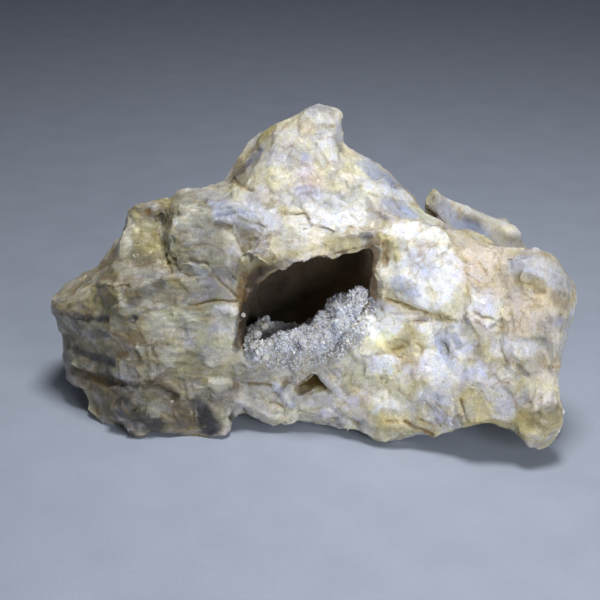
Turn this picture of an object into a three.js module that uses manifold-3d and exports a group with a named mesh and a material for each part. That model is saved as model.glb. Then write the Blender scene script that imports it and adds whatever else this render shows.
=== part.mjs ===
// A viewing stone: a rough block of milky vein quartz, 148 mm long, with a peak, a cave-like hollow in its front
// face and a crust of small crystals on the floor of that hollow.
// Millimetres, +Z up. The front faces -Y. The origin is on the ground, under the middle of the stone.
import * as THREE from "three";
import { ImprovedNoise } from "three/addons/math/ImprovedNoise.js";
import { mergeVertices } from "three/addons/utils/BufferGeometryUtils.js";
import Module from "manifold-3d";

const STONE_DETAIL = 16; // splits of the ball that is wrapped on to the stone: 20 (n + 1)^2 triangles
const HOLLOW_DETAIL = 8;
const BED_DETAIL = 5;
const BLEND = 3; // how softly two lobes run into each other
const EDGE = 4; // how softly a lobe's face turns into its sides
const BASE = -0.9; // where the lobes end below: the ground then cuts them off flat where they would pass it
const FRONT_PULL = 0.3; // how much more closely triangles are packed at the front and top than at the back
const HIGHEST_FACET = 1.1; // how far a broken face can stand out or lie in
const CRUST_GAP = 0.35; // clearance between the crust and the wall of the hollow

// A plane that bounds a lobe in depth: its y at x = 0 and z = 0, and what it gains for each mm of x and of z.
const plane = (y, perX = 0, perZ = 0) => ({ y, perX, perZ });
const depthAt = (p, x, z) => p.y + p.perX * x + p.perZ * z;

// Each lobe has its outline as [x, z], seen from the front, and the planes of its front and back faces.
const LOBES = [
  {
    name: "left end",
    outline: [
      [-74, 32], [-68, 36], [-60, 40], [-51, 44.5], [-44, 44], [-44, 0], [-66, 0], [-61.5, 5.5],
      [-69.5, 9], [-73, 16], [-75.5, 22],
    ],
    front: plane(-55.5, -0.7, 0.14),
    back: plane(34, 0, -0.5),
  },
  {
    name: "left lobe",
    outline: [
      [-56, 40], [-51, 45], [-38, 48], [-27, 48], [-17, 43], [-19, 33], [-21, 28], [-19, 19], [-22, 8],
      [-24.5, 2], [-29, BASE], [-54, BASE], [-57, 6],
    ],
    front: plane(-22, 0, 0.2),
    back: plane(34, 0, -0.5),
  },
  {
    name: "yellow block",
    outline: [
      [-61, 38], [-55, 50], [-50.5, 60], [-48, 61.5], [-41, 61.5], [-38, 52], [-34, 44], [-46, 34],
      [-58, 34],
    ],
    front: plane(-34, -0.1, 0.5),
    back: plane(48, 0, -0.65),
  },
  {
    name: "shoulder",
    outline: [
      [-41, 60], [-36, 64.2], [-24, 66], [-19, 68.5], [-8, 68], [-4, 60], [-8, 50.5], [-12, 48],
      [-17, 43], [-27, 45], [-40, 46],
    ],
    front: plane(-35, -0.05, 0.42),
    back: plane(62, 0, -0.8),
  },
  {
    name: "brow over the hollow",
    outline: [
      [-14, 62], [-4, 69], [20, 63], [22, 57], [16, 57], [9, 53.5], [3, 52.5], [-4, 52], [-9, 50],
      [-16, 52],
    ],
    front: plane(-66, 0, 0.9),
    back: plane(60, 0, -0.75),
  },
  {
    name: "peak",
    outline: [
      [-22, 67], [-14, 76], [-10, 82.5], [-4, 88], [0, 91], [7, 90.5], [6.5, 82], [8, 76], [12, 71],
      [21, 63], [21, 58], [9, 56], [-9, 58], [-20, 62],
    ],
    front: plane(-40, 0, 0.48),
    back: plane(48, 0, -0.42),
  },
  {
    name: "flank behind the peak",
    outline: [[-23, 64], [-21.5, 70], [-17, 73.5], [-14, 82], [-8, 84], [-3, 74], [-8, 62], [-20, 60]],
    front: plane(6),
    back: plane(60, 0, -0.6),
  },
  {
    name: "saddle",
    outline: [
      [8, 75], [13, 72.5], [20, 69], [26, 62.5], [29, 59], [31, 54], [33, 46], [23, 48], [12, 52],
      [5, 64],
    ],
    front: plane(-32, -0.1, 0.45),
    back: plane(56, -0.5, -0.5),
  },
  {
    name: "inner right block",
    outline: [
      [17, 57.5], [23, 62], [31, 61], [42, 56], [44, 11.5], [39, 8], [34, 5], [30, 2.5], [24, 2],
      [17, 3.5], [11, 19], [10, 33], [17, 45],
    ],
    front: plane(-24, -0.24, 0.26),
    back: plane(44, 0, -0.68),
  },
  {
    name: "white crystal block",
    outline: [
      [17, 45], [18.5, 58], [27, 61], [36.5, 59], [37, 52], [36, 46], [32, 39.5], [26, 39.5], [21, 42.5],
    ],
    front: plane(-27.5, -0.16, 0.24),
    back: plane(0),
  },
  {
    name: "right block",
    outline: [
      [34, 58], [42, 56], [60, 55], [65.5, 52.5], [70.5, 47], [68, 39], [66, 32], [64.5, 21], [63.5, 12],
      [61, 4.5], [54.5, 8], [49, 11], [44, 11], [36, 7.5],
    ],
    front: plane(-34, -0.18, 0.42),
    back: plane(66, -0.6, -0.8),
  },
  {
    name: "rear ridge",
    outline: [
      [34.5, 40], [33.5, 50], [33.5, 59], [36, 62], [42, 57.5], [49, 56.5], [57, 50.5], [62, 45.5],
      [66, 39], [64, 30], [36, 30],
    ],
    front: plane(15, 0, 0.08),
    back: plane(68, -0.29, -0.6),
  },
  {
    name: "sill under the hollow",
    outline: [
      [-22, 27], [-17, 30], [10, 32], [23, 27], [33, 21], [35, 9.5], [24, 3], [15, 3], [9, 3.2],
      [4.5, 2.7], [-4, 1], [-11, 0.5], [-14.5, 3], [-19.5, 7], [-23, 2], [-27, 1],
    ],
    front: plane(-20, -0.25, 0.03),
    back: plane(22),
  },
  {
    name: "rock that the hollow is cut into",
    outline: [[-24, 20], [-22, 44], [-12, 56], [20, 62], [24, 40], [14, 24]],
    front: plane(-16),
    back: plane(24),
  },
  {
    name: "rear right foot",
    outline: [[54, 24], [66, 20], [67.5, 12.5], [71, 7], [70, 3], [66, BASE], [46, BASE], [44, 10]],
    front: plane(33, -0.85),
    back: plane(22),
  },
  {
    name: "back",
    outline: [
      [-56, BASE], [-61, 14], [-57, 32], [-40, 47], [-14, 58], [16, 57], [30, 46], [60, 34], [64, 14],
      [58, BASE], [30, BASE], [20, 5], [-10, 5], [-22, BASE],
    ],
    front: plane(-2),
    back: plane(44, 0, -0.4),
  },
];

// Cracks and ledges in the front: each runs through its [x, y, z] points, and is so wide and so deep.
const CRACKS = [
  {
    name: "under the left lobe",
    width: 4,
    depth: 2.4,
    points: [[-72, -4, 14], [-56, -14, 12], [-46, -17, 10.5], [-30, -18, 10]],
  },
  {
    name: "beside the yellow block",
    width: 3.2,
    depth: 2.6,
    points: [[-39.5, 6, 63], [-41, -4, 53], [-39, -9, 44.5]],
  },
  {
    name: "under the shoulder",
    width: 4.5,
    depth: 2.6,
    points: [[-40, -8, 46], [-32, -11, 45.5], [-26, -13, 45], [-19, -16, 41]],
  },
  {
    name: "left of the hollow",
    width: 4,
    depth: 2,
    points: [[-36, -17, 33], [-27, -18, 34.5], [-21, -18, 31]],
  },
  {
    name: "under the white block",
    width: 3.6,
    depth: 2.2,
    points: [[15, -19, 42], [22, -22, 41], [27, -23, 38], [34, -26, 37.5]],
  },
  {
    name: "right of the white block",
    width: 3.4,
    depth: 2,
    points: [[38, -12, 60], [38, -18, 52], [37.5, -22, 45], [34, -26, 38]],
  },
  {
    name: "between the right lobes",
    width: 3.4,
    depth: 2,
    points: [[44, -28, 46], [47, -31, 37], [48, -34, 28], [53, -36, 26]],
  },
  {
    name: "over the sill",
    width: 3.6,
    depth: 1.8,
    points: [[-20, -19, 17], [-9, -19, 18.5], [-3, -19, 21], [6, -20, 23]],
  },
  {
    name: "across the sill",
    width: 3.4,
    depth: 2,
    points: [[6, -20, 14], [14, -22, 20], [20, -24, 24], [28, -26, 25]],
  },
  {
    name: "down the right foot",
    width: 3,
    depth: 1.8,
    points: [[37, -33, 21], [38, -35, 12]],
  },
  {
    name: "foot of the peak",
    width: 5,
    depth: 2.4,
    points: [[12, 4, 77], [9, -3, 70], [10, -7, 63], [17, -11, 59]],
  },
  {
    name: "between saddle and ridge",
    width: 7,
    depth: 3,
    points: [[31, 16, 56], [34, 10, 52], [46, 10, 50], [60, 12, 46]],
  },
];

// Knobs that stand proud of the front: a centre on the surface, a radius and a height.
const KNOBS = [
  { name: "round knob", at: [-35.5, -18.5, 18], radius: 4.5, height: 2 },
  { name: "square knob", at: [-25, -18.5, 16.5], radius: 6, height: 2 },
  { name: "left of the hollow", at: [-23, -17, 37.5], radius: 5, height: 2 },
  { name: "grey lump on the crust's edge", at: [12, -19, 34.5], radius: 5.5, height: 2.2 },
  { name: "below the white block", at: [24, -24, 33], radius: 7, height: 2.4 },
  { name: "over the pocket", at: [-10, -19, 21.5], radius: 6, height: 1.6 },
  { name: "bottom bulge", at: [-14, -19, 7], radius: 7, height: 2.4 },
  { name: "brow over the hollow", at: [-8, -19, 57], radius: 8, height: 2.2 },
  { name: "brow over the hollow's right end", at: [8, -16, 60], radius: 6, height: 1.8 },
  { name: "middle of the right block", at: [47, -30, 20], radius: 8, height: 2 },
  { name: "upper right corner", at: [58, -22, 50], radius: 8, height: 1.8 },
  { name: "step on the peak", at: [0, -4, 76], radius: 6, height: 1.6 },
  { name: "side of the peak", at: [-10, -6, 70], radius: 5, height: 1.6 },
];

const HOLLOW = {
  outline: [
    [-21, 25], [-19.5, 34], [-18, 41], [-14, 46], [-10.5, 49], [-4, 52.5], [3, 53.5], [9.5, 54], [16, 57],
    [17.5, 53], [17, 45], [15.5, 38.5], [10.5, 31], [5.5, 27], [-4, 25.5], [-12, 24], [-18.5, 21.5],
  ],
  mouth: -34, // y of the open end, in front of the stone's face
  face: -18, // y of the stone's face round it
  end: 12, // y of the inner end
  taper: 0.14, // how much the walls draw in for each mm of depth behind the face
};

// The bed that the crust's crystals grow from: its top edge as [x, z] along the mouth, and how it runs inwards.
const CRUST = {
  lip: [[-22, 25.5], [-15, 28], [-4, 28.5], [2, 29.5], [7, 34], [12, 38.5], [18, 44]],
  front: -19.5, // y of its front face
  crest: -8, // y of its highest line
  rise: 0.22, // how much it climbs for each mm from the front to the crest
  fall: 0.6, // and how much it drops for each mm beyond the crest
  crystals: 58,
  smallest: 1.5, // radius of a crystal
  largest: 2.9,
};

const POCKET = {
  corners: [[0, 19.7], [-5.8, 13.4], [-4, 12], [0.9, 14.3], [4.6, 13.6]], // [x, z] on the front
  mouth: -26,
  depth: 15,
};

const noiseField = new ImprovedNoise();

// The larger of two numbers, with the corner where they meet rounded over a width k.
function softMax(a, b, k) {
  const h = Math.max(k - Math.abs(a - b), 0) / k;
  return Math.max(a, b) + (h * h * k) / 4;
}

const softMin = (a, b, k) => -softMax(-a, -b, k);

// Signed distance from (x, z) to a closed outline, negative inside it.
function outlineDistance(outline, x, z) {
  let nearest = Infinity;
  let inside = false;
  for (let i = 0, j = outline.length - 1; i < outline.length; j = i++) {
    const [ax, az] = outline[i];
    const [bx, bz] = outline[j];
    const ex = bx - ax;
    const ez = bz - az;
    const t = THREE.MathUtils.clamp(((x - ax) * ex + (z - az) * ez) / (ex * ex + ez * ez), 0, 1);
    nearest = Math.min(nearest, (x - ax - t * ex) ** 2 + (z - az - t * ez) ** 2);
    if (az > z !== bz > z && x < ax + ((z - az) * ex) / ez) inside = !inside;
  }
  return inside ? -Math.sqrt(nearest) : Math.sqrt(nearest);
}

// The stone's lobes run into each other, and d is the distance to those met so far. A lobe that is too far off
// to change it is passed over.
function joinLobe(d, lobe, { x, y, z }) {
  const steepness = Math.hypot(1, lobe.front.perX, lobe.front.perZ);
  const ahead = (depthAt(lobe.front, x, z) - y) / steepness;
  const behind = y - depthAt(lobe.back, x, z);
  const atLeast = Math.max(ahead, behind, lobe.left - x, x - lobe.right, lobe.bottom - z, z - lobe.top);
  if (atLeast >= d + BLEND) return d;
  const lobeDistance = softMax(outlineDistance(lobe.outline, x, z), softMax(ahead, behind, EDGE), EDGE);
  return softMin(d, lobeDistance, BLEND);
}

for (const lobe of LOBES) {
  const xs = lobe.outline.map(([x]) => x);
  const zs = lobe.outline.map(([, z]) => z);
  lobe.left = Math.min(...xs);
  lobe.right = Math.max(...xs);
  lobe.bottom = Math.min(...zs);
  lobe.top = Math.max(...zs);
}

for (const crack of CRACKS) {
  crack.points = crack.points.map((point) => new THREE.Vector3(...point));
  crack.box = new THREE.Box3().setFromPoints(crack.points).expandByScalar(crack.width);
  crack.runs = crack.points.slice(1).map((end, i) => new THREE.Line3(crack.points[i], end));
}

for (const knob of KNOBS) knob.at = new THREE.Vector3(...knob.at);

// 1 at the middle, falling smoothly to 0 at a distance of one.
const hump = (distance) => (distance >= 1 ? 0 : (1 - distance * distance) ** 2);

function cracksAndKnobs(p) {
  const nearest = new THREE.Vector3();
  let change = 0;
  for (const crack of CRACKS) {
    if (!crack.box.containsPoint(p)) continue;
    const distances = crack.runs.map((run) => run.closestPointToPoint(p, true, nearest).distanceTo(p));
    change += crack.depth * hump(Math.min(...distances) / crack.width);
  }
  for (const knob of KNOBS) change -= knob.height * hump(knob.at.distanceTo(p) / knob.radius);
  return change;
}

// A repeatable random number from 0 to 1 for three whole numbers and a choice of series.
function cellRandom(i, j, k, series) {
  let h = Math.imul(i, 374761393) ^ Math.imul(j, 668265263);
  h ^= Math.imul(k, 1274126177) ^ Math.imul(series, 69069);
  h = Math.imul(h ^ (h >>> 13), 1103515245);
  h = Math.imul(h ^ (h >>> 15), 2246822519);
  return ((h ^ (h >>> 16)) >>> 0) / 4294967296;
}

// Broken faces: space is split into cells, and each tilts the surface inside it its own way.
function facets(x, y, z, size, tilt) {
  const ci = Math.floor(x / size);
  const cj = Math.floor(y / size);
  const ck = Math.floor(z / size);
  let nearest = Infinity;
  let cell = [];
  for (let i = ci - 1; i <= ci + 1; i++)
    for (let j = cj - 1; j <= cj + 1; j++)
      for (let k = ck - 1; k <= ck + 1; k++) {
        const dx = x - (i + cellRandom(i, j, k, 1)) * size;
        const dy = y - (j + cellRandom(i, j, k, 2)) * size;
        const dz = z - (k + cellRandom(i, j, k, 3)) * size;
        const distance = dx * dx + dy * dy + dz * dz;
        if (distance >= nearest) continue;
        nearest = distance;
        cell = [i, j, k, dx, dy, dz];
      }
  const [i, j, k, dx, dy, dz] = cell;
  const tiltX = cellRandom(i, j, k, 4) - 0.5;
  const tiltY = cellRandom(i, j, k, 5) - 0.5;
  const tiltZ = cellRandom(i, j, k, 6) - 0.5;
  const lift = 2 * tilt * (dx * tiltX + dy * tiltY + dz * tiltZ);
  return THREE.MathUtils.clamp(lift, -HIGHEST_FACET, HIGHEST_FACET);
}

const waves = (x, y, z, size) => noiseField.noise(x / size, y / size, z / size);

function roughness({ x, y, z }) {
  const swells = 0.9 * waves(x + 90, y, z, 19) + 0.6 * waves(x, y + 70, z, 8);
  return swells + facets(x, y, z, 13, 0.24) + facets(x, y, z, 7, 0.2);
}

// A body has a form, which is about the distance in mm to its surface and is negative inside it, and a relief
// that is then added to that distance, so that a dent is positive and a bump is negative. The ball that is
// wrapped on to it starts with half sizes of reach round its heart, and shrinks towards half sizes of core.
const stoneBody = {
  heart: new THREE.Vector3(0, 2, 32),
  reach: new THREE.Vector3(84, 50, 62),
  core: new THREE.Vector3(44, 0, 18),
  form: (p) => LOBES.reduce((d, lobe) => joinLobe(d, lobe, p), Infinity),
  relief: (p) => roughness(p) + cracksAndKnobs(p),
};

const hollowBody = {
  heart: new THREE.Vector3(0, -12, 39),
  reach: new THREE.Vector3(40, 40, 34),
  core: new THREE.Vector3(6, 12, 3),
  form(p) {
    const drawnIn = Math.max(0, p.y - HOLLOW.face) * HOLLOW.taper;
    const walls = outlineDistance(HOLLOW.outline, p.x, p.z) + drawnIn;
    return softMax(walls, Math.max(HOLLOW.mouth - p.y, p.y - HOLLOW.end), EDGE);
  },
  relief: ({ x, y, z }) => 0.7 * waves(x, y, z, 7) + facets(x, y, z, 8, 0.3),
};

// Height of the bed's top over the ground at x and y.
function bedHeight(x, y) {
  const right = CRUST.lip.findIndex(([lipX]) => lipX > x);
  const end = THREE.MathUtils.clamp(right < 0 ? CRUST.lip.length - 1 : right, 1, CRUST.lip.length - 1);
  const [leftX, leftZ] = CRUST.lip[end - 1];
  const [rightX, rightZ] = CRUST.lip[end];
  const atLip = THREE.MathUtils.mapLinear(x, leftX, rightX, leftZ, rightZ);
  const climbed = (Math.min(y, CRUST.crest) - CRUST.front) * CRUST.rise;
  const dropped = Math.max(0, y - CRUST.crest) * CRUST.fall;
  return atLip + climbed - dropped;
}

const bedBody = {
  heart: new THREE.Vector3(1, -12, 29),
  reach: new THREE.Vector3(32, 24, 24),
  core: new THREE.Vector3(11, 2, 2),
  form(p) {
    const top = (p.z - bedHeight(p.x, p.y)) * 0.8;
    return softMax(softMax(hollowBody.form(p), top, 2), CRUST.front - p.y, 2);
  },
  relief: ({ x, y, z }) => 0.8 * waves(x, y, z, 5),
};

function positionsOnly(geometry) {
  geometry.deleteAttribute("normal");
  geometry.deleteAttribute("uv");
  return mergeVertices(geometry);
}

function neighboursOf(geometry) {
  const around = Array.from({ length: geometry.getAttribute("position").count }, () => new Set());
  const corners = geometry.index.array;
  for (let i = 0; i < corners.length; i += 3)
    for (let side = 0; side < 3; side++) {
      const a = corners[i + side];
      const b = corners[i + ((side + 1) % 3)];
      around[a].add(b);
      around[b].add(a);
    }
  return around.map((set) => [...set]);
}

// Moves p on to the surface of a body, along the slope of its form.
function settle(p, { form, relief }, steps) {
  const reach = 0.4;
  const slope = new THREE.Vector3();
  const probe = new THREE.Vector3();
  for (let step = 0; step < steps; step++) {
    const here = form(p);
    for (const axis of ["x", "y", "z"]) {
      probe.copy(p);
      probe[axis] += reach;
      slope[axis] = (form(probe) - here) / reach;
    }
    p.addScaledVector(slope, -(here + relief(p)) / Math.max(slope.lengthSq(), 0.4));
  }
}

// Wraps a ball on to the surface of a body: each vertex comes in from outside until it meets the surface, and
// the mesh is then evened out along it, with its triangles drawn towards the front and top.
function wrap(body, detail, rounds) {
  const geometry = positionsOnly(new THREE.IcosahedronGeometry(1, detail));
  const at = geometry.getAttribute("position");
  const points = [];
  for (let i = 0; i < at.count; i++) {
    const outer = new THREE.Vector3().fromBufferAttribute(at, i);
    const inner = outer.clone().multiply(body.core).add(body.heart);
    outer.multiply(body.reach).add(body.heart);
    const p = new THREE.Vector3();
    let share = 1;
    do {
      share -= 0.01;
      p.lerpVectors(inner, outer, share);
    } while (share > 0.02 && body.form(p) > 0);
    points.push(p);
  }
  const around = neighboursOf(geometry);
  const normal = new THREE.Vector3();
  for (let round = 0; round < rounds; round++) {
    points.forEach((p, i) => at.setXYZ(i, p.x, p.y, p.z));
    geometry.computeVertexNormals();
    const pulls = points.map(({ y, z }) => 1 + FRONT_PULL * THREE.MathUtils.smoothstep(z / 2 - y, -25, 5));
    const centres = around.map((neighbours, i) => {
      const centre = new THREE.Vector3();
      let total = 0;
      for (const n of neighbours) {
        const pull = pulls[n] * points[n].distanceTo(points[i]);
        centre.addScaledVector(points[n], pull);
        total += pull;
      }
      return centre.divideScalar(total);
    });
    points.forEach((p, i) => {
      normal.fromBufferAttribute(geometry.getAttribute("normal"), i);
      p.addScaledVector(centres[i].sub(p).projectOnPlane(normal), 0.7);
      settle(p, body, 2);
    });
  }
  points.forEach((p, i) => at.setXYZ(i, p.x, p.y, p.z));
  return geometry;
}

const wasm = await Module();
wasm.setup();

function solid(geometry) {
  return new wasm.Manifold(
    new wasm.Mesh({
      numProp: 3,
      vertProperties: new Float32Array(geometry.getAttribute("position").array),
      triVerts: new Uint32Array(geometry.index.array),
    }),
  );
}

// The largest of a solid's separate bodies, without the crumbs that a cut can leave.
function largestBody(manifold) {
  return manifold.decompose().sort((a, b) => b.volume() - a.volume())[0];
}

function geometryOf(manifold) {
  const mesh = manifold.getMesh();
  return new THREE.BufferGeometry()
    .setAttribute("position", new THREE.BufferAttribute(mesh.vertProperties, 3))
    .setIndex(new THREE.BufferAttribute(mesh.triVerts, 1));
}

// The same closed shape with each vertex moved in by a distance along the surface's normal there.
function shrunk(geometry, distance) {
  const smaller = geometry.clone();
  smaller.computeVertexNormals();
  const at = smaller.getAttribute("position");
  const normal = smaller.getAttribute("normal");
  for (let i = 0; i < at.count; i++)
    at.setXYZ(
      i,
      at.getX(i) - distance * normal.getX(i),
      at.getY(i) - distance * normal.getY(i),
      at.getZ(i) - distance * normal.getZ(i),
    );
  return smaller;
}

// A crystal with six sides, pointed at both ends, centred on the origin and standing along Y.
function crystal(radius, halfLength) {
  const girdle = new THREE.Vector2(radius, 0);
  const profile = [new THREE.Vector2(0, -halfLength), girdle, new THREE.Vector2(0, halfLength)];
  return positionsOnly(new THREE.LatheGeometry(profile, 6));
}

// The crust: its bed with crystals on it that point out of it, all inside the hollow.
function makeCrust(hollow) {
  const bed = wrap(bedBody, BED_DETAIL, 30);
  bed.computeVertexNormals();
  const at = bed.getAttribute("position");
  const normal = bed.getAttribute("normal");
  const step = at.count / CRUST.crystals;
  let crust = solid(bed);
  for (let n = 0; n < CRUST.crystals; n++) {
    const i = Math.floor((n + cellRandom(n, 0, 0, 7) * 0.9) * step);
    const place = new THREE.Vector3().fromBufferAttribute(at, i);
    const out = new THREE.Vector3().fromBufferAttribute(normal, i);
    if (out.z < -0.2) continue;
    const radius = THREE.MathUtils.lerp(CRUST.smallest, CRUST.largest, cellRandom(n, 0, 0, 8) ** 2);
    const lean = new THREE.Vector3(...[9, 10, 11].map((series) => cellRandom(n, 0, 0, series)));
    out.add(lean.subScalar(0.5)).normalize();
    const piece = crystal(radius, radius * THREE.MathUtils.lerp(1, 1.5, cellRandom(n, 0, 0, 12)));
    piece.applyQuaternion(new THREE.Quaternion().setFromUnitVectors(THREE.Object3D.DEFAULT_UP, out));
    crust = crust.add(solid(piece.translate(place.x, place.y, place.z)));
  }
  return largestBody(crust.intersect(solid(shrunk(hollow, CRUST_GAP))));
}

function makePocket() {
  const outline = new THREE.Shape(POCKET.corners.map(([x, z]) => new THREE.Vector2(x, z)));
  const prism = new THREE.ExtrudeGeometry(outline, { depth: POCKET.depth, bevelEnabled: false });
  return solid(positionsOnly(prism.rotateX(Math.PI / 2).translate(0, POCKET.mouth + POCKET.depth, 0)));
}

const hollow = wrap(hollowBody, HOLLOW_DETAIL, 40);
const ground = positionsOnly(new THREE.BoxGeometry(300, 300, 40).translate(0, 0, -20));
const stone = largestBody(
  solid(wrap(stoneBody, STONE_DETAIL, 80))
    .subtract(solid(hollow))
    .subtract(makePocket())
    .subtract(solid(ground)),
);

function part(name, manifold, color, roughness) {
  const mesh = new THREE.Mesh(
    geometryOf(manifold),
    new THREE.MeshStandardMaterial({ color, roughness, metalness: 0, flatShading: true }),
  );
  mesh.name = name;
  return mesh;
}

const model = new THREE.Group();
model.add(part("stone", stone, 0xd9cfb4, 0.6));
model.add(part("crystal_crust", makeCrust(hollow), 0xa8a5a6, 0.35));

// The group is moved so that the origin is under the middle of the stone.
const middle = new THREE.Box3().setFromObject(model).getCenter(new THREE.Vector3());
model.position.set(-middle.x, -middle.y, 0);

export default model;
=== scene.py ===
"""Viewing stone: a piece of vein quartz with a crystal-lined hollow, finished around its CAD solids."""

import math

import bpy
import numpy as np
from bpy.props import FloatProperty, FloatVectorProperty, IntProperty, PointerProperty
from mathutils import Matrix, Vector


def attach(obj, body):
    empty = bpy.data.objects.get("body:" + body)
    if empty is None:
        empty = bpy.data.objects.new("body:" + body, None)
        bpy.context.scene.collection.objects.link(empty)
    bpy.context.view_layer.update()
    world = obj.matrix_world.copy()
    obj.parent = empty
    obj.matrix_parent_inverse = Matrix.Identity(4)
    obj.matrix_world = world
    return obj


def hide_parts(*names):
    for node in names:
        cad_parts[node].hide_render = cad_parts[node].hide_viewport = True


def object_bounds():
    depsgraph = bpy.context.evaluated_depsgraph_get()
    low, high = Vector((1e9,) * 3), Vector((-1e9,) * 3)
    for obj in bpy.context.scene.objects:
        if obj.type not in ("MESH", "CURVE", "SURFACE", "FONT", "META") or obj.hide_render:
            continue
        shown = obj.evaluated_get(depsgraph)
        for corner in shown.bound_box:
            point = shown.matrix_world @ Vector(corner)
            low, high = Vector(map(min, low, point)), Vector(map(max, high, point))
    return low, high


bl_info = {
    "name": "Viewing Stone",
    "version": (1, 0, 0),
    "blender": (4, 5, 0),
    "location": "3D View > Sidebar > Viewing Stone",
    "description": "Finishes a quartz viewing stone and the crystals of its hollow",
    "category": "Object",
}

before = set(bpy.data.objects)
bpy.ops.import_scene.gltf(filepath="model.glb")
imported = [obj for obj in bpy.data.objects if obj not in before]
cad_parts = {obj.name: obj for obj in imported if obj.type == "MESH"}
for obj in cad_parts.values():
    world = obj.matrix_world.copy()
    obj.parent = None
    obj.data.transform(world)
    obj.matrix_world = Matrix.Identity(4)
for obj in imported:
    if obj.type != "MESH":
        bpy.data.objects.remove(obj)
CAD_LOW, CAD_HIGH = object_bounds()

MM = 0.001

# Broad stains under the rest: colour, half width, strength and points, with lengths in millimetres.
GROUNDS = [
    ("olive", 22, 0.9, [(-68, 0, 24), (-52, -16, 22), (-44, -22, 8)]),
    ("straw", 14, 0.8, [(-48, -4, 52), (-36, -8, 56)]),
    ("straw", 16, 0.75, [(-40, -18, 38), (-28, -20, 24)]),
    ("straw", 12, 0.5, [(-28, -14, 54), (-16, -14, 60)]),
    ("tan", 12, 0.8, [(-60, -14, 8), (-40, -22, 6)]),
    ("olive", 10, 0.5, [(-34, -22, 8), (-24, -22, 8)]),
    ("cream", 14, 0.6, [(-12, -14, 60), (6, -14, 62), (20, -18, 56)]),
    ("cream", 12, 0.6, [(-6, 0, 76), (4, 2, 84)]),
    ("grey", 12, 0.7, [(-12, -20, 24), (0, -20, 20), (10, -20, 26)]),
    ("cream", 14, 0.5, [(-14, -22, 10), (10, -24, 12)]),
    ("white", 14, 0.6, [(20, -24, 34), (30, -26, 40), (38, -28, 26)]),
    ("peach", 22, 0.6, [(36, -28, 46), (56, -30, 44), (60, -34, 28)]),
    ("straw", 12, 0.45, [(40, -36, 14), (58, -38, 12)]),
    ("olive", 16, 0.6, [(30, 20, 56), (50, 22, 50), (66, 10, 40)]),
    ("straw", 26, 0.5, [(-40, 20, 40), (0, 26, 40), (50, 20, 30)]),
    ("olive", 22, 0.5, [(-50, 26, 20), (0, 34, 14), (50, 30, 14)]),
]

# Pushes of the surface: centre, radius and move, in millimetres.
PUSHES = [
    # the hollow's left edge, upper left corner and right edge
    ((-18, -17, 36), 11, (-1.4, 0, 0)),
    ((-15, -17, 47), 7, (-1.0, 2.4, 0.6)),
    ((20, -20, 46), 9, (-2.2, 0, 0)),
    # the brow over the hollow stands back, and the band below it stands forward
    ((2, -20, 59), 17, (0, 4.0, -1.5)),
    ((0, -21, 19), 13, (0, -2.0, 0.8)),
    # scallops of the hollow's upper lip
    ((-9, -20, 52), 7, (-0.4, -0.6, 3.2)),
    ((-15, -18, 50), 6, (-0.8, 0.8, 1.6)),
    ((-0.5, -19, 54), 4, (0, -0.4, 0.4)),
    ((8, -18, 55.0), 5, (0, -0.4, -2.0)),
    ((4.5, -20, 56), 2.0, (0, 0.5, 1.2)),
    # the lip under the crust's right end
    ((13.5, -22, 32.5), 7, (-1.2, -0.6, 2.4)),
    # left end
    ((-72, 2, 30), 9, (-2.6, 0, 0)),
    ((-66, -2, 9), 10, (-3.2, 0, -2.0)),
    ((-58, -14, 3), 8, (-3.0, -1.5, -2.0)),
    ((-68, 2, 36), 8, (0, 0, -2.8)),
    ((-21, 4, 66), 5, (0.6, 0, -1.3)),
    ((-68, -6, 7), 6, (-1.5, 0, -0.8)),
    ((-48, 2, 60), 5, (-0.6, 0, 1.4)),
    ((-66, 2, 37.5), 6, (0.4, 0, -1.3)),
    ((-38, 0, 64.5), 4, (0, 0, -1.0)),
    ((-60, -11, 7), 4, (1.3, 0, 0)),
    ((-61, -11, 2), 4, (-1.4, 0, -0.5)),
    # foot under the dark grain, and the front's lower edge
    ((-48, -23, 2), 5, (0, -1.8, -1.5)),
    ((-24, -24, 3), 8, (1.2, -2.2, -1.6)),
    ((-9, -22, 4), 7, (0.5, -0.8, -2.4)),
    ((19, -28, 4), 9, (0, -0.6, -2.6)),
    ((35, -33, 6.5), 6, (0, 0, -1.6)),
    ((62, -37, 9), 11, (0.8, 0, -3.0)),
    ((66, -34, 10), 9, (2.8, 0, -0.4)),
    ((62, -39, 3), 7, (2.4, -0.5, -1.0)),
    ((70, -27, 4), 6, (0.6, 0, -1.2)),
    ((69, -25, 5), 7, (0, -0.6, -1.0)),
    # right end and rear ridge
    ((71, -22, 46), 9, (2.2, 0, 0.8)),
    ((62, 14, 46), 9, (0.5, 0, 2.6)),
    ((38, 19, 55), 8, (-1.2, 0, 3.2)),
    # the front block's rear edge stands lower than the ridge
    ((38, -7, 61.5), 10, (0, -1.0, -3.5)),
    ((41, 2, 58), 13, (0, 0, -5.0)),
    ((48, 17, 54), 6, (0, 0, 1.2)),
    ((59, 15, 50), 5, (0, 0, -1.0)),
    ((65, 15, 45), 5, (0.3, 0, -0.4)),
    ((68, -24, 51), 6, (1.0, 0, 0.6)),
    # peak
    ((7, 3, 86), 7, (1.8, 0, 0.5)),
    ((13, 5, 77), 9, (-1.8, 0, -0.9)),
    ((-20, 8, 69), 6, (-1.2, 0, 0)),
    ((-15.5, 7, 75), 5, (0.8, 0, -0.6)),
    ((-11, 7, 81), 5, (-0.7, 0, 0.9)),
    ((9.5, 3, 83), 4, (-0.7, 0, 0)),
    ((13.5, 5, 76), 4, (1.0, 0, 0.6)),
    ((8, 3, 88), 4, (1.0, 0, 0.3)),
    ((3.8, 7, 88.8), 3.4, (0, 0, -2.0)),
]

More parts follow.
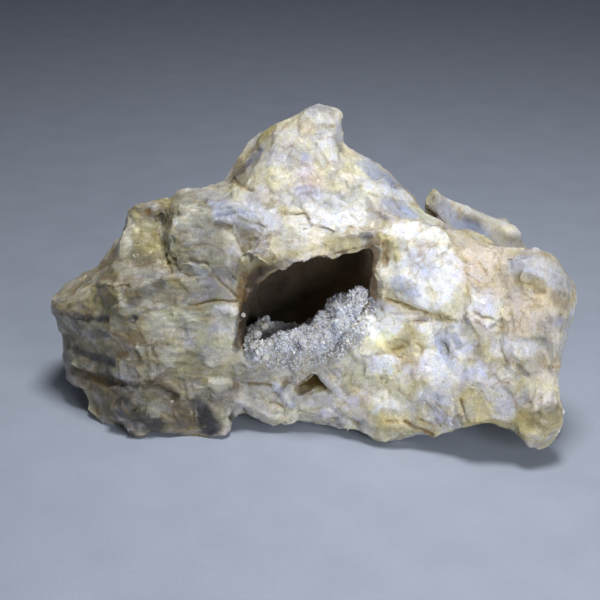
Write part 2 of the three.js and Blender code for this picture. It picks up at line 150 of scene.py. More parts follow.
# Places where the rock is smooth and rounded: centre and radius in millimetres.
ROUNDED = [
    ((62, -37, 5), 14),
    ((69, -25, 4), 8),
    ((4, 2, 88), 8),
    ((64, 15, 45), 6),
    ((68, -24, 51), 7),
]

# The edge of the hollow, inside which the tint is painted dark as shade: corners in millimetres.
HOLLOW_EDGE = [
    (-20, -18, 26), (-17.3, -17, 38), (-17.5, -16.5, 48), (-14, -19, 53), (-6, -21, 56), (-1.5, -21, 55),
    (19.5, -19.5, 58.5), (21, -20.5, 51.5), (16.8, -20.5, 44), (13, -23, 31), (-1.5, -21, 24.5),
    (-18, -20, 19.5),
]

# Flat-sided grains and facets: colour, strength, lift and corners in millimetres.
# A lift below 0 sinks the facet into the rock.
PANES = [
    # left end and yellow block
    ("cream", 0.6, 0.3, [(-48, 7, 59), (-38, -2, 63.5), (-39.5, -5, 60.5), (-43.5, -1, 60),
        (-46.5, 0, 60)]),
    ("ochre", 0.5, 0, [(-47.5, 0.5, 60), (-45, -0.5, 60), (-41, -4, 60), (-43, -2.5, 58.5),
        (-45.5, -1.5, 57.5)]),
    ("grey", 0.55, 0.3, [(-52, 6.5, 54.5), (-49, 3.5, 58), (-47, -1.5, 56.5), (-48, -6.5, 51.5),
        (-54, 5.5, 46), (-52, -0.5, 53.5)]),
    ("straw", 0.5, 0.3, [(-46.5, -2.5, 58.5), (-40.5, -1.5, 58), (-39.5, -5, 51), (-46, -6.5, 52.5)]),
    ("ochre", 0.5, 0, [(-43.5, -4, 55), (-40, -3.5, 56), (-38.5, -7.5, 54.5), (-41, -5.5, 52.5),
        (-43.5, -5, 53.5)]),
    ("olive", 0.7, -0.5, [(-51, -6, 50), (-46, -7, 51.5), (-40, -6, 50), (-38.5, -9, 47.5),
        (-47.5, -9.5, 46), (-52.5, -7.5, 47)]),
    ("grey", 0.5, 0.2, [(-51.5, -9, 45), (-39, -9.5, 47), (-37.5, -13.5, 44.5), (-52.5, -13, 43)]),
    ("tan", 0.7, 0.3, [(-61.5, 11.5, 38.5), (-56, 5, 42), (-52, -9.5, 43.5), (-57.5, -9.5, 42.5)]),
    ("cream", 0.5, 0.5, [(-70.5, -1, 33), (-66, -0.5, 36.5), (-60.5, -7, 39.5), (-61.5, -9, 36.5),
        (-67, -6, 33.5)]),
    ("tan", 0.6, 0, [(-73.5, 2, 30.5), (-62.5, -9, 35), (-57.5, -13, 34), (-72, 0.5, 27)]),
    ("olive", 0.5, 0, [(-60.5, -8, 39), (-48.5, -16, 42.5), (-47.5, -16.5, 39), (-56, -14, 34.5),
        (-59.5, -11, 36)]),
    ("tan", 0.5, 0, [(-73, 6.5, 19.5), (-67, -6, 24), (-67, -7, 19), (-71.5, 0.5, 17)]),
    ("cream", 0.25, 0.3, [(-47.5, -17.5, 33.5), (-38.5, -18.5, 35), (-35, -18, 33.5), (-37, -19, 27),
        (-43.5, -22, 29.5), (-45.5, -19.5, 31.5)]),
    ("cream", 0.25, 0.2, [(-42.5, -22.5, 28), (-34.5, -19.5, 28), (-32, -20, 25), (-34.5, -20.5, 19.5),
        (-40.5, -21.5, 22.5)]),
    ("ochre", 0.5, -0.4, [(-53.5, -17, 30.5), (-48.5, -18, 31.5), (-45, -19.5, 31), (-44, -22, 29),
        (-49, -19, 27), (-53, -17.5, 28)]),
    ("grey", 0.55, 0.2, [(-52, -18.5, 21.5), (-42.5, -23.5, 25), (-39, -21, 20), (-43, -25, 19),
        (-51.5, -19.5, 17)]),
    ("tan", 0.65, 0.3, [(-67, -8.5, 10.5), (-56, -15, 11), (-53, -22, 5.5), (-60.5, -10.5, 0.5),
        (-61.5, -11.5, 4.5)]),
    ("olive", 0.6, 0, [(-58.5, -13, 10.5), (-48.5, -22, 14.5), (-48, -23, 10.5), (-55.5, -20.5, 9)]),
    ("straw", 0.5, 0.2, [(-44, -20, 11.5), (-37.5, -20.5, 11), (-36, -24.5, 4.5), (-42, -25, 5)]),
    ("tan", 0.5, -0.2, [(-37.5, -20.5, 10.5), (-31.5, -21.5, 12), (-31, -23, 3), (-35, -24, 4)]),
    ("grey", 0.5, 0.3, [(-35.5, -15.5, 40), (-27.5, -16.5, 39.5), (-25.5, -17.5, 35), (-33, -17.5, 33),
        (-35.5, -18, 36.5)]),
    # shoulder and brow
    ("straw", 0.4, 0.2, [(-35.5, -1.5, 64.5), (-28, -2.5, 65.5), (-27.5, -9, 64), (-33.5, -10, 62.5)]),
    ("white", 0.4, 0.2, [(-37.5, -9, 61), (-31.5, -9.5, 62.5), (-29, -10.5, 59), (-33, -12, 57.5),
        (-37.5, -11, 58.5)]),
    ("cream", 0.4, 0.2, [(-35.5, -12, 57.5), (-27, -11, 57.5), (-26.5, -12.5, 54.5), (-34.5, -12, 53)]),
    ("lilac", 0.6, 0, [(-27.5, -5.5, 64.5), (-20, -11, 66.5), (-21, -12, 64.5), (-26.5, -9.5, 63.5)]),
    ("blue", 0.6, 0, [(-22, -11.5, 62.5), (-15.5, -12, 65), (-12, -13.5, 61), (-12, -14.5, 59),
        (-18, -12, 58.5)]),
    ("blue", 0.45, 0, [(-20.5, -11, 67), (-12, -11, 67.5), (-13, -12.5, 64.5), (-19, -12.5, 64)]),
    ("ochre", 0.45, 0, [(-18.5, -12, 58), (-13.5, -13.5, 59), (-13, -15, 57), (-17, -13, 55.5)]),
    ("cream", 0.6, 0.7, [(-13, -16.5, 55.5), (-10.5, -16.5, 58), (-4.5, -19, 59), (-4, -22, 55),
        (-7, -24, 53), (-11.5, -22.5, 52.5), (-14, -18, 53)]),
    ("cream", 0.7, 0.4, [(-3.5, -19, 58), (6, -19, 59), (17.5, -18.5, 58.5), (14.5, -17.5, 55),
        (6.5, -20, 54), (-1.5, -21.5, 54.5)]),
    ("white", 0.5, 0.2, [(-12, -12.5, 65), (-4.5, -14, 62.5), (-3, -17, 59.5), (-11, -15.5, 59)]),
    ("olive", 0.4, -0.2, [(-33.5, -12, 53), (-26.5, -12.5, 55), (-18.5, -14.5, 50.5), (-21, -13.5, 46.5),
        (-26.5, -14.5, 51), (-32, -14, 51.5)]),
    ("olive", 0.6, 0.4, [(-21, -14, 51.5), (-18, -13.5, 52.5), (-16.5, -17.5, 49), (-19, -14.5, 45.5),
        (-21, -14, 47.5)]),
    ("grey", 0.5, 0.2, [(-25.5, -13, 54), (-22, -13, 53.5), (-21.5, -14.5, 51), (-24.5, -15, 50.5)]),
    ("grey", 0.6, 0.3, [(-33.5, -13, 44), (-27.5, -13.5, 45.5), (-22, -13, 44.5), (-18.5, -15, 41.5),
        (-21.5, -16, 40), (-30, -16, 39.5)]),
    ("bluewhite", 0.7, 0.3, [(-33, -14.5, 50), (-27.5, -14.5, 49.5), (-25, -13, 47.5),
        (-27.5, -13.5, 45.5), (-30.5, -12.5, 46)]),
    ("ochre", 0.65, -0.4, [(-16.5, -17, 49), (-13.5, -18.5, 50.5), (-12, -18.5, 46), (-13.5, -16, 42),
        (-16.5, -16, 42.5)]),
    ("brown", 0.9, -0.6, [(-16.5, -16, 50), (-12, -18.5, 50.5), (-11.7, -18.6, 47.7), (-13.2, -15.9, 42.1),
        (-16.2, -16.9, 38.6), (-17.3, -15.4, 40), (-16.3, -18.6, 46.3)]),
    # front left of the hollow
    ("white", 0.85, 0.8, [(-24, -17.5, 37), (-23, -17, 38.5), (-19, -17, 38.5), (-18.5, -18.5, 36.5),
        (-22, -17, 35)]),
    ("cream", 0.5, 0.3, [(-33.5, -17.5, 34), (-20.5, -17.5, 34.5), (-18, -17.5, 30.5), (-20, -18.5, 27),
        (-32, -19, 28.5)]),
    ("cream", 0.5, 0.3, [(-29, -19.5, 26.5), (-20.5, -19, 26.5), (-19, -19.5, 22.5), (-26, -21.5, 20),
        (-29, -20.5, 22)]),
    ("cream", 0.8, 0.8, [(-27.5, -20.5, 17.5), (-21.5, -22, 18.5), (-20.5, -20.5, 14), (-25, -23, 13.5),
        (-28, -22.5, 15.5)]),
    ("slate", 0.85, 0.4, [(-31, -21.5, 10.5), (-28, -20, 10.5), (-26, -22, 8.5), (-24.5, -24, 2.5),
        (-26.5, -23.5, 0.5), (-30, -24, 1.5)]),
    ("ochre", 0.5, -0.3, [(-23.5, -22.5, 18.5), (-18.5, -19, 15.5), (-17, -18, 11.5), (-22, -21.5, 12)]),
    # band, bars and the small pocket
    ("grey", 0.6, 0.3, [(-18.5, -19, 19), (-1.5, -21, 22.5), (12, -24, 27), (12, -23.5, 22.5),
        (-0.5, -22, 19.5), (-12.5, -18.5, 15), (-19, -19.5, 15.5)]),
    ("cream", 0.5, 0.3, [(-19.5, -19.5, 15), (-10, -18.5, 14), (-9, -19.5, 12), (-18.5, -22, 11.5)]),
    ("bluewhite", 0.85, 0.8, [(-8.5, -20.5, 10.5), (-6, -19.5, 14.5), (-4, -20, 15.5), (-4.5, -21.5, 12),
        (-7, -21.5, 9)]),
    ("cream", 0.7, 0.6, [(-5, -20.5, 13.5), (-0.5, -22.5, 19.5), (1.5, -22.5, 19.5), (-2.5, -19, 12.5)]),
    ("yellow", 0.9, -2.8, [(1.5, -22.5, 19.5), (7, -22.5, 14), (2.5, -22.5, 14), (-1.5, -22, 12),
        (-3.5, -21.5, 14)]),
    ("bluewhite", 0.6, 0.5, [(-2.5, -23, 10.5), (2, -22.5, 13.5), (7, -22.5, 14), (7.5, -23, 12),
        (3.5, -21, 9), (-1.5, -22, 7.5)]),
    ("lilac", 0.5, 0.4, [(4, -22.5, 19.5), (6.5, -23, 19), (11, -23, 14), (9, -23, 12.5),
        (6, -23, 15.5)]),
    ("white", 0.6, 0.7, [(-17.5, -21, 10.5), (-13.5, -19.5, 11), (-9.5, -20.5, 9.5), (-10.5, -22, 7),
        (-14.5, -20.5, 5), (-17, -18, 5.5)]),
    ("cream", 0.5, 0.3, [(-7.5, -21.5, 8.5), (-1.5, -22, 7), (6.5, -23, 9), (9.5, -24, 6),
        (-1.5, -20.5, 3.5)]),
    # peak
    ("yellow", 0.75, 0.3, [(-11, 7, 80), (-8.5, 6.5, 82), (-7.5, 1.5, 82.5), (-10, 2, 79.5),
        (-13.5, 4.5, 76), (-15.5, 8, 75.5)]),
    ("slate", 0.5, -0.3, [(-15.5, 7.5, 74.5), (-12, 1.5, 77), (-13, -3.5, 73.5), (-16.5, 3.5, 70)]),
    ("tan", 0.6, 0, [(-20, 10, 70.5), (-17, 7, 72), (-15.5, -8, 70), (-18, -8, 70), (-21, 6.5, 67.5)]),
    ("cream", 0.5, 0.2, [(-0.5, 4, 87.5), (3.5, 4, 89), (7.5, 5, 87), (9, 2, 86), (7.5, -2, 85),
        (3, -2, 85), (0, 0, 86.5)]),
    ("peach", 0.8, 0.3, [(-1, -1.5, 84.5), (2, -1.5, 85.5), (3, -2.5, 84), (0.5, -3.5, 82.5),
        (-1.5, -3, 83.5)]),
    ("white", 0.6, 0.4, [(3, -4.5, 80.5), (7.5, -2, 81.5), (9.5, -0.5, 77), (9, -3.5, 74),
        (5.5, -5.5, 76)]),
    ("cream", 0.5, 0.2, [(-6, 0.5, 84), (-2, 0.5, 86), (-1, -4.5, 81), (-5.5, -4, 78),
        (-10.5, -2.5, 77.5)]),
    ("blue", 0.5, 0, [(-4.5, -4, 79), (-0.5, -5.5, 78.5), (1.5, -6.5, 76.5), (-1.5, -7, 75.5),
        (-4.5, -4.5, 76.5)]),
    ("lilac", 0.6, 0.2, [(2.5, -5.5, 78.5), (4, -4.5, 79), (6, -5.5, 75.5), (4, -7, 74),
        (2.5, -6.5, 76.5)]),
    ("white", 0.4, 0.2, [(-12, 0, 76.5), (-8.5, -4, 77.5), (-9, -9, 72), (-14.5, -9, 70),
        (-14.5, -2.5, 73)]),
    ("peach", 0.75, 0.2, [(-1.5, -9, 72.5), (4, -7, 72.5), (4.5, -9.5, 69.5), (-0.5, -10.5, 69.5)]),
    ("blue", 0.5, 0, [(5.5, -6.5, 72), (7.5, -6, 72.5), (8, -9.5, 69), (6, -9.5, 68.5)]),
    ("cream", 0.7, 0.3, [(8.5, -6, 72), (11.5, -5.5, 72), (12, -10, 67), (9.5, -10.5, 67)]),
    ("blue", 0.5, 0, [(-3, -11, 70), (1, -10, 69.5), (1, -10.5, 68.5), (-0.5, -12, 64.5),
        (-4, -12, 66.5)]),
    ("white", 0.8, 0.3, [(-2, -11.5, 68), (6.5, -10, 67.5), (11.5, -9.5, 64), (10, -18.5, 60.5),
        (1, -13, 60.5)]),
    ("white", 0.6, 0.2, [(12.5, 1.5, 74.5), (17, 3, 73), (17, -6, 71), (13, -7.5, 71.5)]),
    # saddle and rear ridge
    ("blue", 0.75, 0.2, [(16, 2, 73.5), (22, 2, 71), (26.5, 2, 66), (23.5, -2.5, 66), (18, -6, 71),
        (15, -2.5, 72.5)]),
    ("blue", 0.75, 0.2, [(21.5, -10, 65.5), (26, -3.5, 63.5), (30.5, -10.5, 62.5), (27.5, -14, 62),
        (22, -13.5, 61.5)]),
    ("white", 0.6, 0.2, [(21, -14, 61), (30.5, -14.5, 61.5), (36.5, -19.5, 60), (32.5, -20, 58),
        (23.5, -19.5, 58)]),
    ("grey", 0.5, 0, [(12.5, -10, 69), (18, -7.5, 68), (18, -12, 64), (13, -9.5, 63)]),
    ("straw", 0.7, 0.3, [(44.5, 19, 54), (51.5, 19, 51), (52, 17.5, 50.5), (45.5, 15.5, 51)]),
    # right block
    ("white", 0.85, 0.7, [(24, -21, 54), (29, -20, 56.5), (39, -19.5, 56.5), (42, -21, 52.5),
        (43, -25, 46.5), (37.5, -26, 40), (33, -24.5, 39.5), (28.5, -25, 43), (24.5, -21.5, 49)]),
    ("lilac", 0.5, 0.2, [(28, -20.5, 55), (34, -21, 56), (34.5, -23, 50.5), (32, -24, 48.5),
        (28.5, -22, 50)]),
    ("lilac", 0.65, 0.3, [(23, -22.5, 47), (27, -23, 48.5), (30, -24.5, 45.5), (29.5, -25, 42.5),
        (25, -22.5, 42.5)]),
    ("ochre", 0.6, -0.2, [(37.5, -26, 40), (42.5, -25, 45.5), (43.5, -26, 44.5), (39.5, -27, 39.5)]),
    ("tan", 0.5, 0, [(28, -23.5, 38), (33.5, -24.5, 39), (33, -24.5, 36.5), (28.5, -25, 36.5)]),
    ("peach", 0.7, 0.2, [(41.5, -17.5, 55.5), (51.5, -18, 54.5), (51, -25, 48), (44, -25, 46.5),
        (42, -21, 52.5)]),
    ("white", 0.8, 0.5, [(44, -26, 44.5), (51, -26, 44.5), (52, -27.5, 40), (47.5, -29, 36.5),
        (44.5, -29.5, 40)]),
    ("white", 0.7, 0.3, [(20, -20, 37.5), (27, -23, 38.5), (28.5, -26, 35), (25, -24, 30),
        (20.5, -23, 32)]),
    ("white", 0.6, 0.2, [(29.5, -25.5, 36), (37, -27, 37.5), (37, -26.5, 31.5), (31.5, -26.5, 30.5)]),
    ("ochre", 0.45, 0, [(51, -19, 54), (55, -19.5, 53), (54, -25, 51), (51, -23.5, 50)]),
    ("peach", 0.75, 0.3, [(53.5, -26.5, 46.5), (61, -28.5, 48.5), (64, -30, 42.5), (65, -33.5, 36),
        (54.5, -31, 34.5)]),
    ("peach", 0.8, 0, [(21.5, -23.5, 31), (28, -27, 34), (28, -25.5, 28.5), (23, -25, 27)]),
    ("cream", 0.75, 0.6, [(24.5, -28, 21), (30, -29.5, 22.5), (31.5, -30, 17), (28, -30, 15),
        (25.5, -28, 17)]),
    ("grey", 0.6, 0.2, [(17, -25.5, 17), (22.5, -27.5, 18.5), (22, -27.5, 15), (18.5, -26.5, 14.5)]),
    ("bluewhite", 0.85, 0.4, [(16.5, -27.5, 12.5), (21.5, -27.5, 13.5), (23.5, -28.5, 16),
        (25.5, -29, 16), (25, -29.5, 11.5), (19, -28.5, 9.5)]),
    ("lilac", 0.65, 0.4, [(32, -30, 16.5), (33.5, -31.5, 19), (36.5, -32, 14), (38, -33.5, 11.5),
        (36.5, -32.5, 10.5)]),
    ("bluewhite", 0.6, 0.2, [(27, -29.5, 5.5), (31, -30.5, 6.5), (33, -32, 5), (29.5, -30.5, 5),
        (27.5, -27, 1)]),
    ("white", 0.5, 0.2, [(15, -26, 26.5), (23.5, -25, 26.5), (24, -27.5, 21.5), (17, -24.5, 19.5)]),
    ("white", 0.6, 0.2, [(32.5, -27.5, 27.5), (36.5, -28, 28.5), (37.5, -32.5, 22), (33.5, -31.5, 20)]),
    ("white", 0.6, 0.2, [(37.5, -26.5, 33), (44.5, -30.5, 35.5), (44.5, -31.5, 29), (39, -29.5, 27.5)]),
    ("yellow", 0.75, 0.3, [(46, -31, 33.5), (51, -32, 34), (51.5, -33, 29.5), (47.5, -33, 28.5)]),
    ("white", 0.7, 0.4, [(42.5, -31.5, 27.5), (46.5, -32, 29.5), (48.5, -34.5, 25), (45, -35, 22.5),
        (42.5, -33.5, 24.5)]),
    ("white", 0.75, 0.4, [(54, -32, 34), (56.5, -31, 35), (59, -32.5, 31.5), (58, -33, 29),
        (55, -32.5, 30.5)]),
    ("lilac", 0.8, 0.3, [(51, -37.5, 18), (53, -37, 19), (55.5, -37, 18), (55, -38, 16),
        (52.5, -38.5, 15)]),
    ("blue", 0.5, 0, [(56, -35.5, 23), (58.5, -36, 23.5), (59, -38, 19.5), (57, -37.5, 18)]),
    ("cream", 0.5, 0.2, [(61.5, -35, 27), (65.5, -36, 28), (65, -40, 19), (62, -40.5, 18.5)]),
    ("yellow", 0.5, 0, [(56.5, -38.5, 15.5), (62.5, -40.5, 18), (64, -39.5, 12), (57, -40.5, 12)]),
    ("ochre", 0.65, 0, [(45.5, -38, 13), (49, -39, 14.5), (54, -38, 11.5), (50.5, -37.5, 11.5)]),
    ("olive", 0.5, 0, [(59.5, -41.5, 10.5), (63.5, -39, 11), (71, -24, 5), (71.5, -24, 3),
        (63.5, -38, 10)]),
    ("lilac", 0.6, 0.2, [(66, -40, 19.5), (72, -23, 8), (71.5, -24, 4), (70, -24.5, 6)]),
    # crust
    ("bluewhite", 0.7, 0, [(8.5, -13.5, 36), (12, -12.5, 39), (15, -17.5, 40), (13.5, -21, 37),
        (9, -21, 36)]),
    ("bluewhite", 0.5, 0, [(-9.5, -21.5, 28), (-1.5, -19.5, 29), (-0.5, -22, 26), (-6.5, -20.5, 23)]),
]

# Strokes of colour and relief: colour, half width, strength, cut and points, with lengths in millimetres.
# A cut above 0 is a groove of that depth, and one below 0 is a raised place.
MARKS = [
    # the inside of the hollow
    ("tan", 3.0, 0.3, 0, [(-10, -8, 47), (-6, -4, 44), (-4, -2, 40)]),
    # left end and yellow block
    ("brown", 0.4, 0.7, 0.3, [(-36.5, -4, 62), (-38, -5, 59.5), (-39, -5.5, 57)]),
    ("dark", 0.5, 0.5, 0.2, [(-38.5, -6.5, 53), (-38.2, -7.5, 50.5)]),
    ("dark", 0.7, 0.9, 0.5, [(-38.4, -8, 49.5), (-37.6, -9.5, 46.5), (-36.4, -10.5, 43.5)]),
    ("brown", 0.7, 0.8, 0.8, [(-36.5, -9, 49), (-31.5, -15, 50), (-27, -15, 49)]),
    ("ochre", 0.6, 0.5, 0.4, [(-27, -14.5, 48.5), (-23, -14.5, 43), (-19, -16, 39.5)]),
    ("ochre", 0.6, 0.75, 0.7, [(-32, -16.5, 37.5), (-26, -16, 38.5), (-19, -16.5, 39)]),
    ("white", 1.7, 0.8, -0.4, [(-24.5, -17.5, 36.5), (-20.5, -17, 36.5)]),
    ("slate", 1.7, 0.6, 0, [(-47, -17, 39), (-43.5, -17, 42.5), (-40, -15, 43.5)]),
    ("dark", 0.6, 0.75, 0.6, [(-60.5, -7.5, 39.5), (-54.5, -13.5, 42), (-49, -15, 43.5)]),
    ("slate", 1.3, 1.0, 0.4, [(-67, -7, 29.5), (-57.5, -13.5, 32), (-47.5, -17, 34)]),
    ("slate", 1.4, 0.6, 0, [(-66, -8, 27.5), (-62.5, -10.5, 28.5)]),
    ("slate", 1.3, 0.8, 0, [(-60, -11, 27), (-55, -16, 28)]),
    ("slate", 1.5, 1.0, 0.4, [(-66, -7.5, 20), (-60, -10.5, 19), (-53.5, -16.5, 20)]),
    ("brown", 1.7, 0.9, 0.9, [(-67.5, -8, 13), (-60.5, -11, 12.5), (-52.5, -19, 15),
        (-43, -25.5, 16.5), (-36.5, -21, 12)]),
    ("ochre", 0.9, 0.7, 0, [(-52, -18.5, 23.5), (-49, -19.5, 24)]),
    ("cream", 2.2, 0.35, -0.2, [(-41, -18, 35.5), (-37.5, -18, 32)]),
    ("cream", 1.7, 0.8, -0.6, [(-26, -22.5, 16.5), (-21.5, -22, 16)]),
    ("dark", 0.5, 0.8, 0.4, [(-38.5, -21, 13), (-37, -21, 12.5)]),
    ("slate", 3.2, 0.95, 0, [(-51, -22.5, 8.5), (-47, -24.5, 6), (-43, -24.5, 4)]),
    ("dark", 0.6, 0.6, 0.3, [(-50, -23.5, 8), (-46, -24.5, 5)]),
    ("slate", 1.2, 0.85, 0, [(-48.5, -23.5, 2), (-47.5, -22.5, 0)]),
    ("slate", 2.4, 0.9, 0, [(-30, -21, 9.5), (-28, -22, 6), (-26, -23.5, 3)]),
    ("yellow", 1.7, 0.8, 0, [(-46.5, 3.5, 60.5), (-42, 1.5, 61.5), (-37.5, -3.5, 63.5)]),
    ("cream", 1.7, 0.7, -0.2, [(-49.5, -1.5, 56.5), (-50.5, -5, 53), (-51, -7, 50)]),
    ("ochre", 1.2, 0.8, 0.3, [(-44, -1.5, 59.5)]),
    ("yellow", 3.5, 0.5, 0, [(-46, -2.5, 56), (-43, -6.5, 51.5)]),
    ("grey", 2.3, 0.5, 0, [(-58, -5.5, 43.5), (-60.5, -7, 39.5)]),
    # upper centre
    ("bluewhite", 3.4, 0.95, 0, [(-22, -11.5, 62.5), (-16.5, -12.5, 63.5), (-12, -13.5, 61.5)]),
    ("blue", 1.2, 0.6, 0, [(-21, -11.8, 64), (-17, -12.3, 64.5)]),
    ("slate", 0.5, 0.8, 0.2, [(-18, -12.5, 61.5), (-14, -13, 60.5), (-11, -14, 60)]),
    ("purple", 1.3, 0.7, 0.3, [(-24, -11.5, 59.3), (-21, -11.8, 58.8)]),
    ("brown", 0.5, 0.7, 0.2, [(-25, -11.5, 59.5), (-20.5, -12, 58.6)]),
    ("yellow", 1.4, 0.8, -0.3, [(-6, -13.5, 64.5), (-3, -13, 64), (0, -12.5, 63)]),
    ("dark", 0.5, 0.95, 0.6, [(-5.5, -13.5, 63.5), (-3, -13, 63), (-0.5, -12.5, 62.5)]),
    ("brown", 0.5, 0.8, 0.5, [(-20.5, 4.5, 67), (-17.5, -8, 70), (-14.5, -10.5, 69)]),
    ("yellow", 2.6, 0.8, 0, [(-14, 6.5, 77.5), (-11, 7.5, 80), (-8.5, 6, 81.5)]),
    ("blue", 2.0, 0.8, 0, [(-15.5, 4, 72), (-13, 1.5, 76)]),
    ("purple", 2.0, 0.6, 0, [(-19, 4, 67.5), (-16.5, 4, 71)]),
    ("cream", 3.5, 0.5, 0, [(-31.5, -10, 61.5), (-27.5, -12, 55.5)]),
    ("grey", 2.9, 0.4, 0, [(-33, -7.5, 65), (-29, -4, 65)]),
    # peak
    ("grey", 1.4, 0.6, 0, [(3, 1, 88.5), (6, 3, 88)]),
    ("peach", 1.7, 0.8, 0, [(-0.5, -2.5, 84), (1, -3, 83.5)]),
    ("ochre", 0.7, 0.8, 0.2, [(7, -2, 84)]),
    ("blue", 1.4, 0.8, 0, [(8.5, -1.5, 84), (9.5, -0.5, 80.5)]),
    ("peach", 1.7, 0.6, 0, [(-0.5, -9.5, 72), (4, -9.5, 70.5)]),
    ("seam", 1.1, 0.45, 0.2, [(-5, -11.5, 70), (-1.5, -9.5, 71.5), (3, -9.5, 72)]),
    ("blue", 1.4, 0.5, 0, [(-3.5, -11.5, 69.5), (1, -10.5, 69)]),
    ("white", 4.6, 0.8, 0, [(-1.5, -13, 62), (5, -12.5, 62.5), (12, -10.5, 62.5)]),
    ("white", 2.3, 0.7, -0.2, [(4.5, -13, 62), (10, -12, 62)]),
    ("slate", 1.2, 0.9, 0.4, [(15.3, -17.4, 58.6), (16.6, -17.6, 58.3)]),
    ("ochre", 1.4, 0.7, 0.3, [(16.5, -18, 57), (18.5, -18.5, 58)]),
    ("yellow", 1.4, 0.75, -0.2, [(-13.5, -17.5, 51), (-8.5, -24, 54), (-4, -21.5, 55.5), (2.5, -20, 57.5)]),
    ("yellow", 2.0, 0.75, 0, [(6.5, -19.5, 56), (10.5, -17, 55.5), (14, -17.5, 55.5)]),
    ("yellow", 2.2, 0.7, 0.3, [(20.5, -15.3, 60), (22, -18.5, 58.5), (23, -19.8, 55.5),
        (21.2, -20.3, 52.3)]),
    ("seam", 1.4, 0.8, 0.2, [(20.5, -18, 59), (22, -20, 56), (21.5, -20.3, 52.8)]),
    ("brown", 0.6, 0.9, 0.6, [(20.2, -20.3, 57.6), (20.6, -20.4, 56)]),
    ("brown", 0.6, 0.9, 0.6, [(20.9, -20.2, 54), (20.8, -20.2, 52.8)]),
    # saddle
    ("blue", 3.8, 0.85, 0, [(18, -1, 73), (21.5, -3.5, 71), (25, 0, 67)]),
    ("white", 1.7, 0.85, -0.2, [(17, -7.5, 69), (23, -5.5, 66.5), (29, 0.5, 62.5)]),
    ("blue", 2.6, 0.7, 0, [(22.5, -10.5, 65), (28, -10.5, 62.5)]),
    # rear ridge
    ("blue", 2.8, 0.7, 0, [(40.5, 17, 54.5), (42.5, 16, 51), (45, 15.5, 48)]),
    ("olive", 2.0, 0.9, 0.3, [(37.5, 21, 54), (38.5, 18, 50.5)]),
    ("brown", 1.1, 0.8, 0.3, [(37.8, 20, 53.2), (38.4, 18, 51)]),
    ("straw", 2.4, 0.5, 0, [(46, 17, 53), (52, 16.8, 50.5), (59, 15.5, 47)]),
    ("blue", 2.8, 0.6, 0, [(46.5, 15.4, 50), (50, 15.3, 47.5), (54, 15.3, 45.5)]),
    ("slate", 1.6, 0.75, 0.2, [(48, 15.3, 48.5), (51.5, 15.3, 46.3)]),
    ("ochre", 0.4, 0.7, 0.3, [(44.5, 17, 54), (45.5, 16, 51), (50, 16.6, 50.5), (56, 15.8, 47.5)]),
    ("olive", 1.8, 0.7, 0.2, [(60, 14.8, 45.5), (63.5, 14, 43.5)]),
    # right top
    ("white", 2.6, 0.85, 0, [(21.5, -18, 60), (29, -17, 60), (35, -20, 60)]),
    ("white", 6.4, 0.9, 0, [(26, -21.5, 51), (33, -24, 47), (38, -25, 43.5)]),
    ("white", 4.6, 0.8, 0, [(35.5, -21.5, 53), (30, -24, 47.5)]),
    ("lilac", 2.6, 0.85, 0, [(29.5, -21.5, 53.5), (32, -23, 50.5)]),
    ("blue", 2.0, 0.7, 0, [(24.5, -22.5, 47), (28.5, -24, 45)]),
    ("yellow", 1.3, 0.6, 0, [(32.5, -24, 45.5), (34, -24, 44.5)]),
    ("yellow", 2.0, 0.7, 0, [(42.3, -24.8, 46.7), (40.2, -26.2, 43), (37, -26, 40)]),
    ("yellow", 1.6, 0.6, 0, [(20.5, -20.3, 42.5), (25.2, -21.7, 41), (30.5, -23.5, 39.4), (37, -26, 38)]),
    ("ochre", 0.6, 0.85, 0.8, [(21.5, -20.5, 41.8), (25.2, -21.7, 41.5), (30.5, -23.5, 39.9),
        (35.7, -25.5, 38.4)]),
    ("ochre", 0.4, 0.8, 0.4, [(42.3, -21, 52.5), (43.3, -21.7, 54), (46, -21.3, 52.7),
        (47.9, -23.1, 49.7)]),
    ("ochre", 0.4, 0.8, 0.4, [(41.7, -21.3, 50.4), (42.5, -24.8, 46.7), (43.5, -26.5, 43)]),
    ("ochre", 0.3, 0.8, 0.3, [(43, -22, 49.5), (45.9, -24.6, 47.5), (49, -24.5, 48.5), (50.5, -23, 51.5)]),
    ("yellow", 2.2, 0.8, 0.2, [(53.8, -19.2, 53.5), (52.5, -22.5, 51.5), (51, -24.5, 48.5)]),
    ("seam", 1.2, 0.6, 0, [(53.5, -21, 53), (51.5, -24, 49.5)]),
    ("yellow", 2.4, 0.8, 0.3, [(55.5, -26, 50.5), (59.8, -27.8, 49.5), (62, -28.5, 48)]),
    ("seam", 1.3, 0.6, 0, [(56.5, -26.5, 50.2), (60, -27.8, 49.2)]),
    ("ochre", 0.5, 0.8, 0.4, [(56.5, -26.5, 49.3), (59, -27.5, 48.8)]),
    ("ochre", 0.5, 0.8, 0.6, [(34.5, -25, 38), (39.5, -27, 38)]),
    ("ochre", 0.4, 0.8, 0.4, [(28.5, -24.5, 36.8), (32, -25, 36.8)]),
    ("ochre", 0.6, 0.8, 0.6, [(44.5, -28.5, 41.2), (46.5, -28.5, 39.8), (49, -28.5, 39.5)]),
    ("peach", 7.0, 0.75, 0, [(46, -21.5, 52), (53.5, -25.5, 49.5), (61, -29, 46.5)]),
    ("peach", 4.1, 0.7, 0, [(62.5, -25.5, 52), (56, -24.5, 54)]),
    ("ochre", 0.9, 0.8, 0.3, [(60.5, -28.5, 47.5), (62, -29, 47.5)]),
    ("bluewhite", 2.9, 0.8, 0, [(56, -24, 54.5), (64, -25.5, 52), (67.5, -28.5, 48.5)]),
    ("tan", 1.8, 0.5, 0.2, [(65.5, -29, 46.5), (67.5, -28.5, 45), (69.5, -28.5, 43)]),
    ("dark", 0.6, 0.5, 0, [(66, -30.5, 41.5), (70, -25.5, 35.5)]),
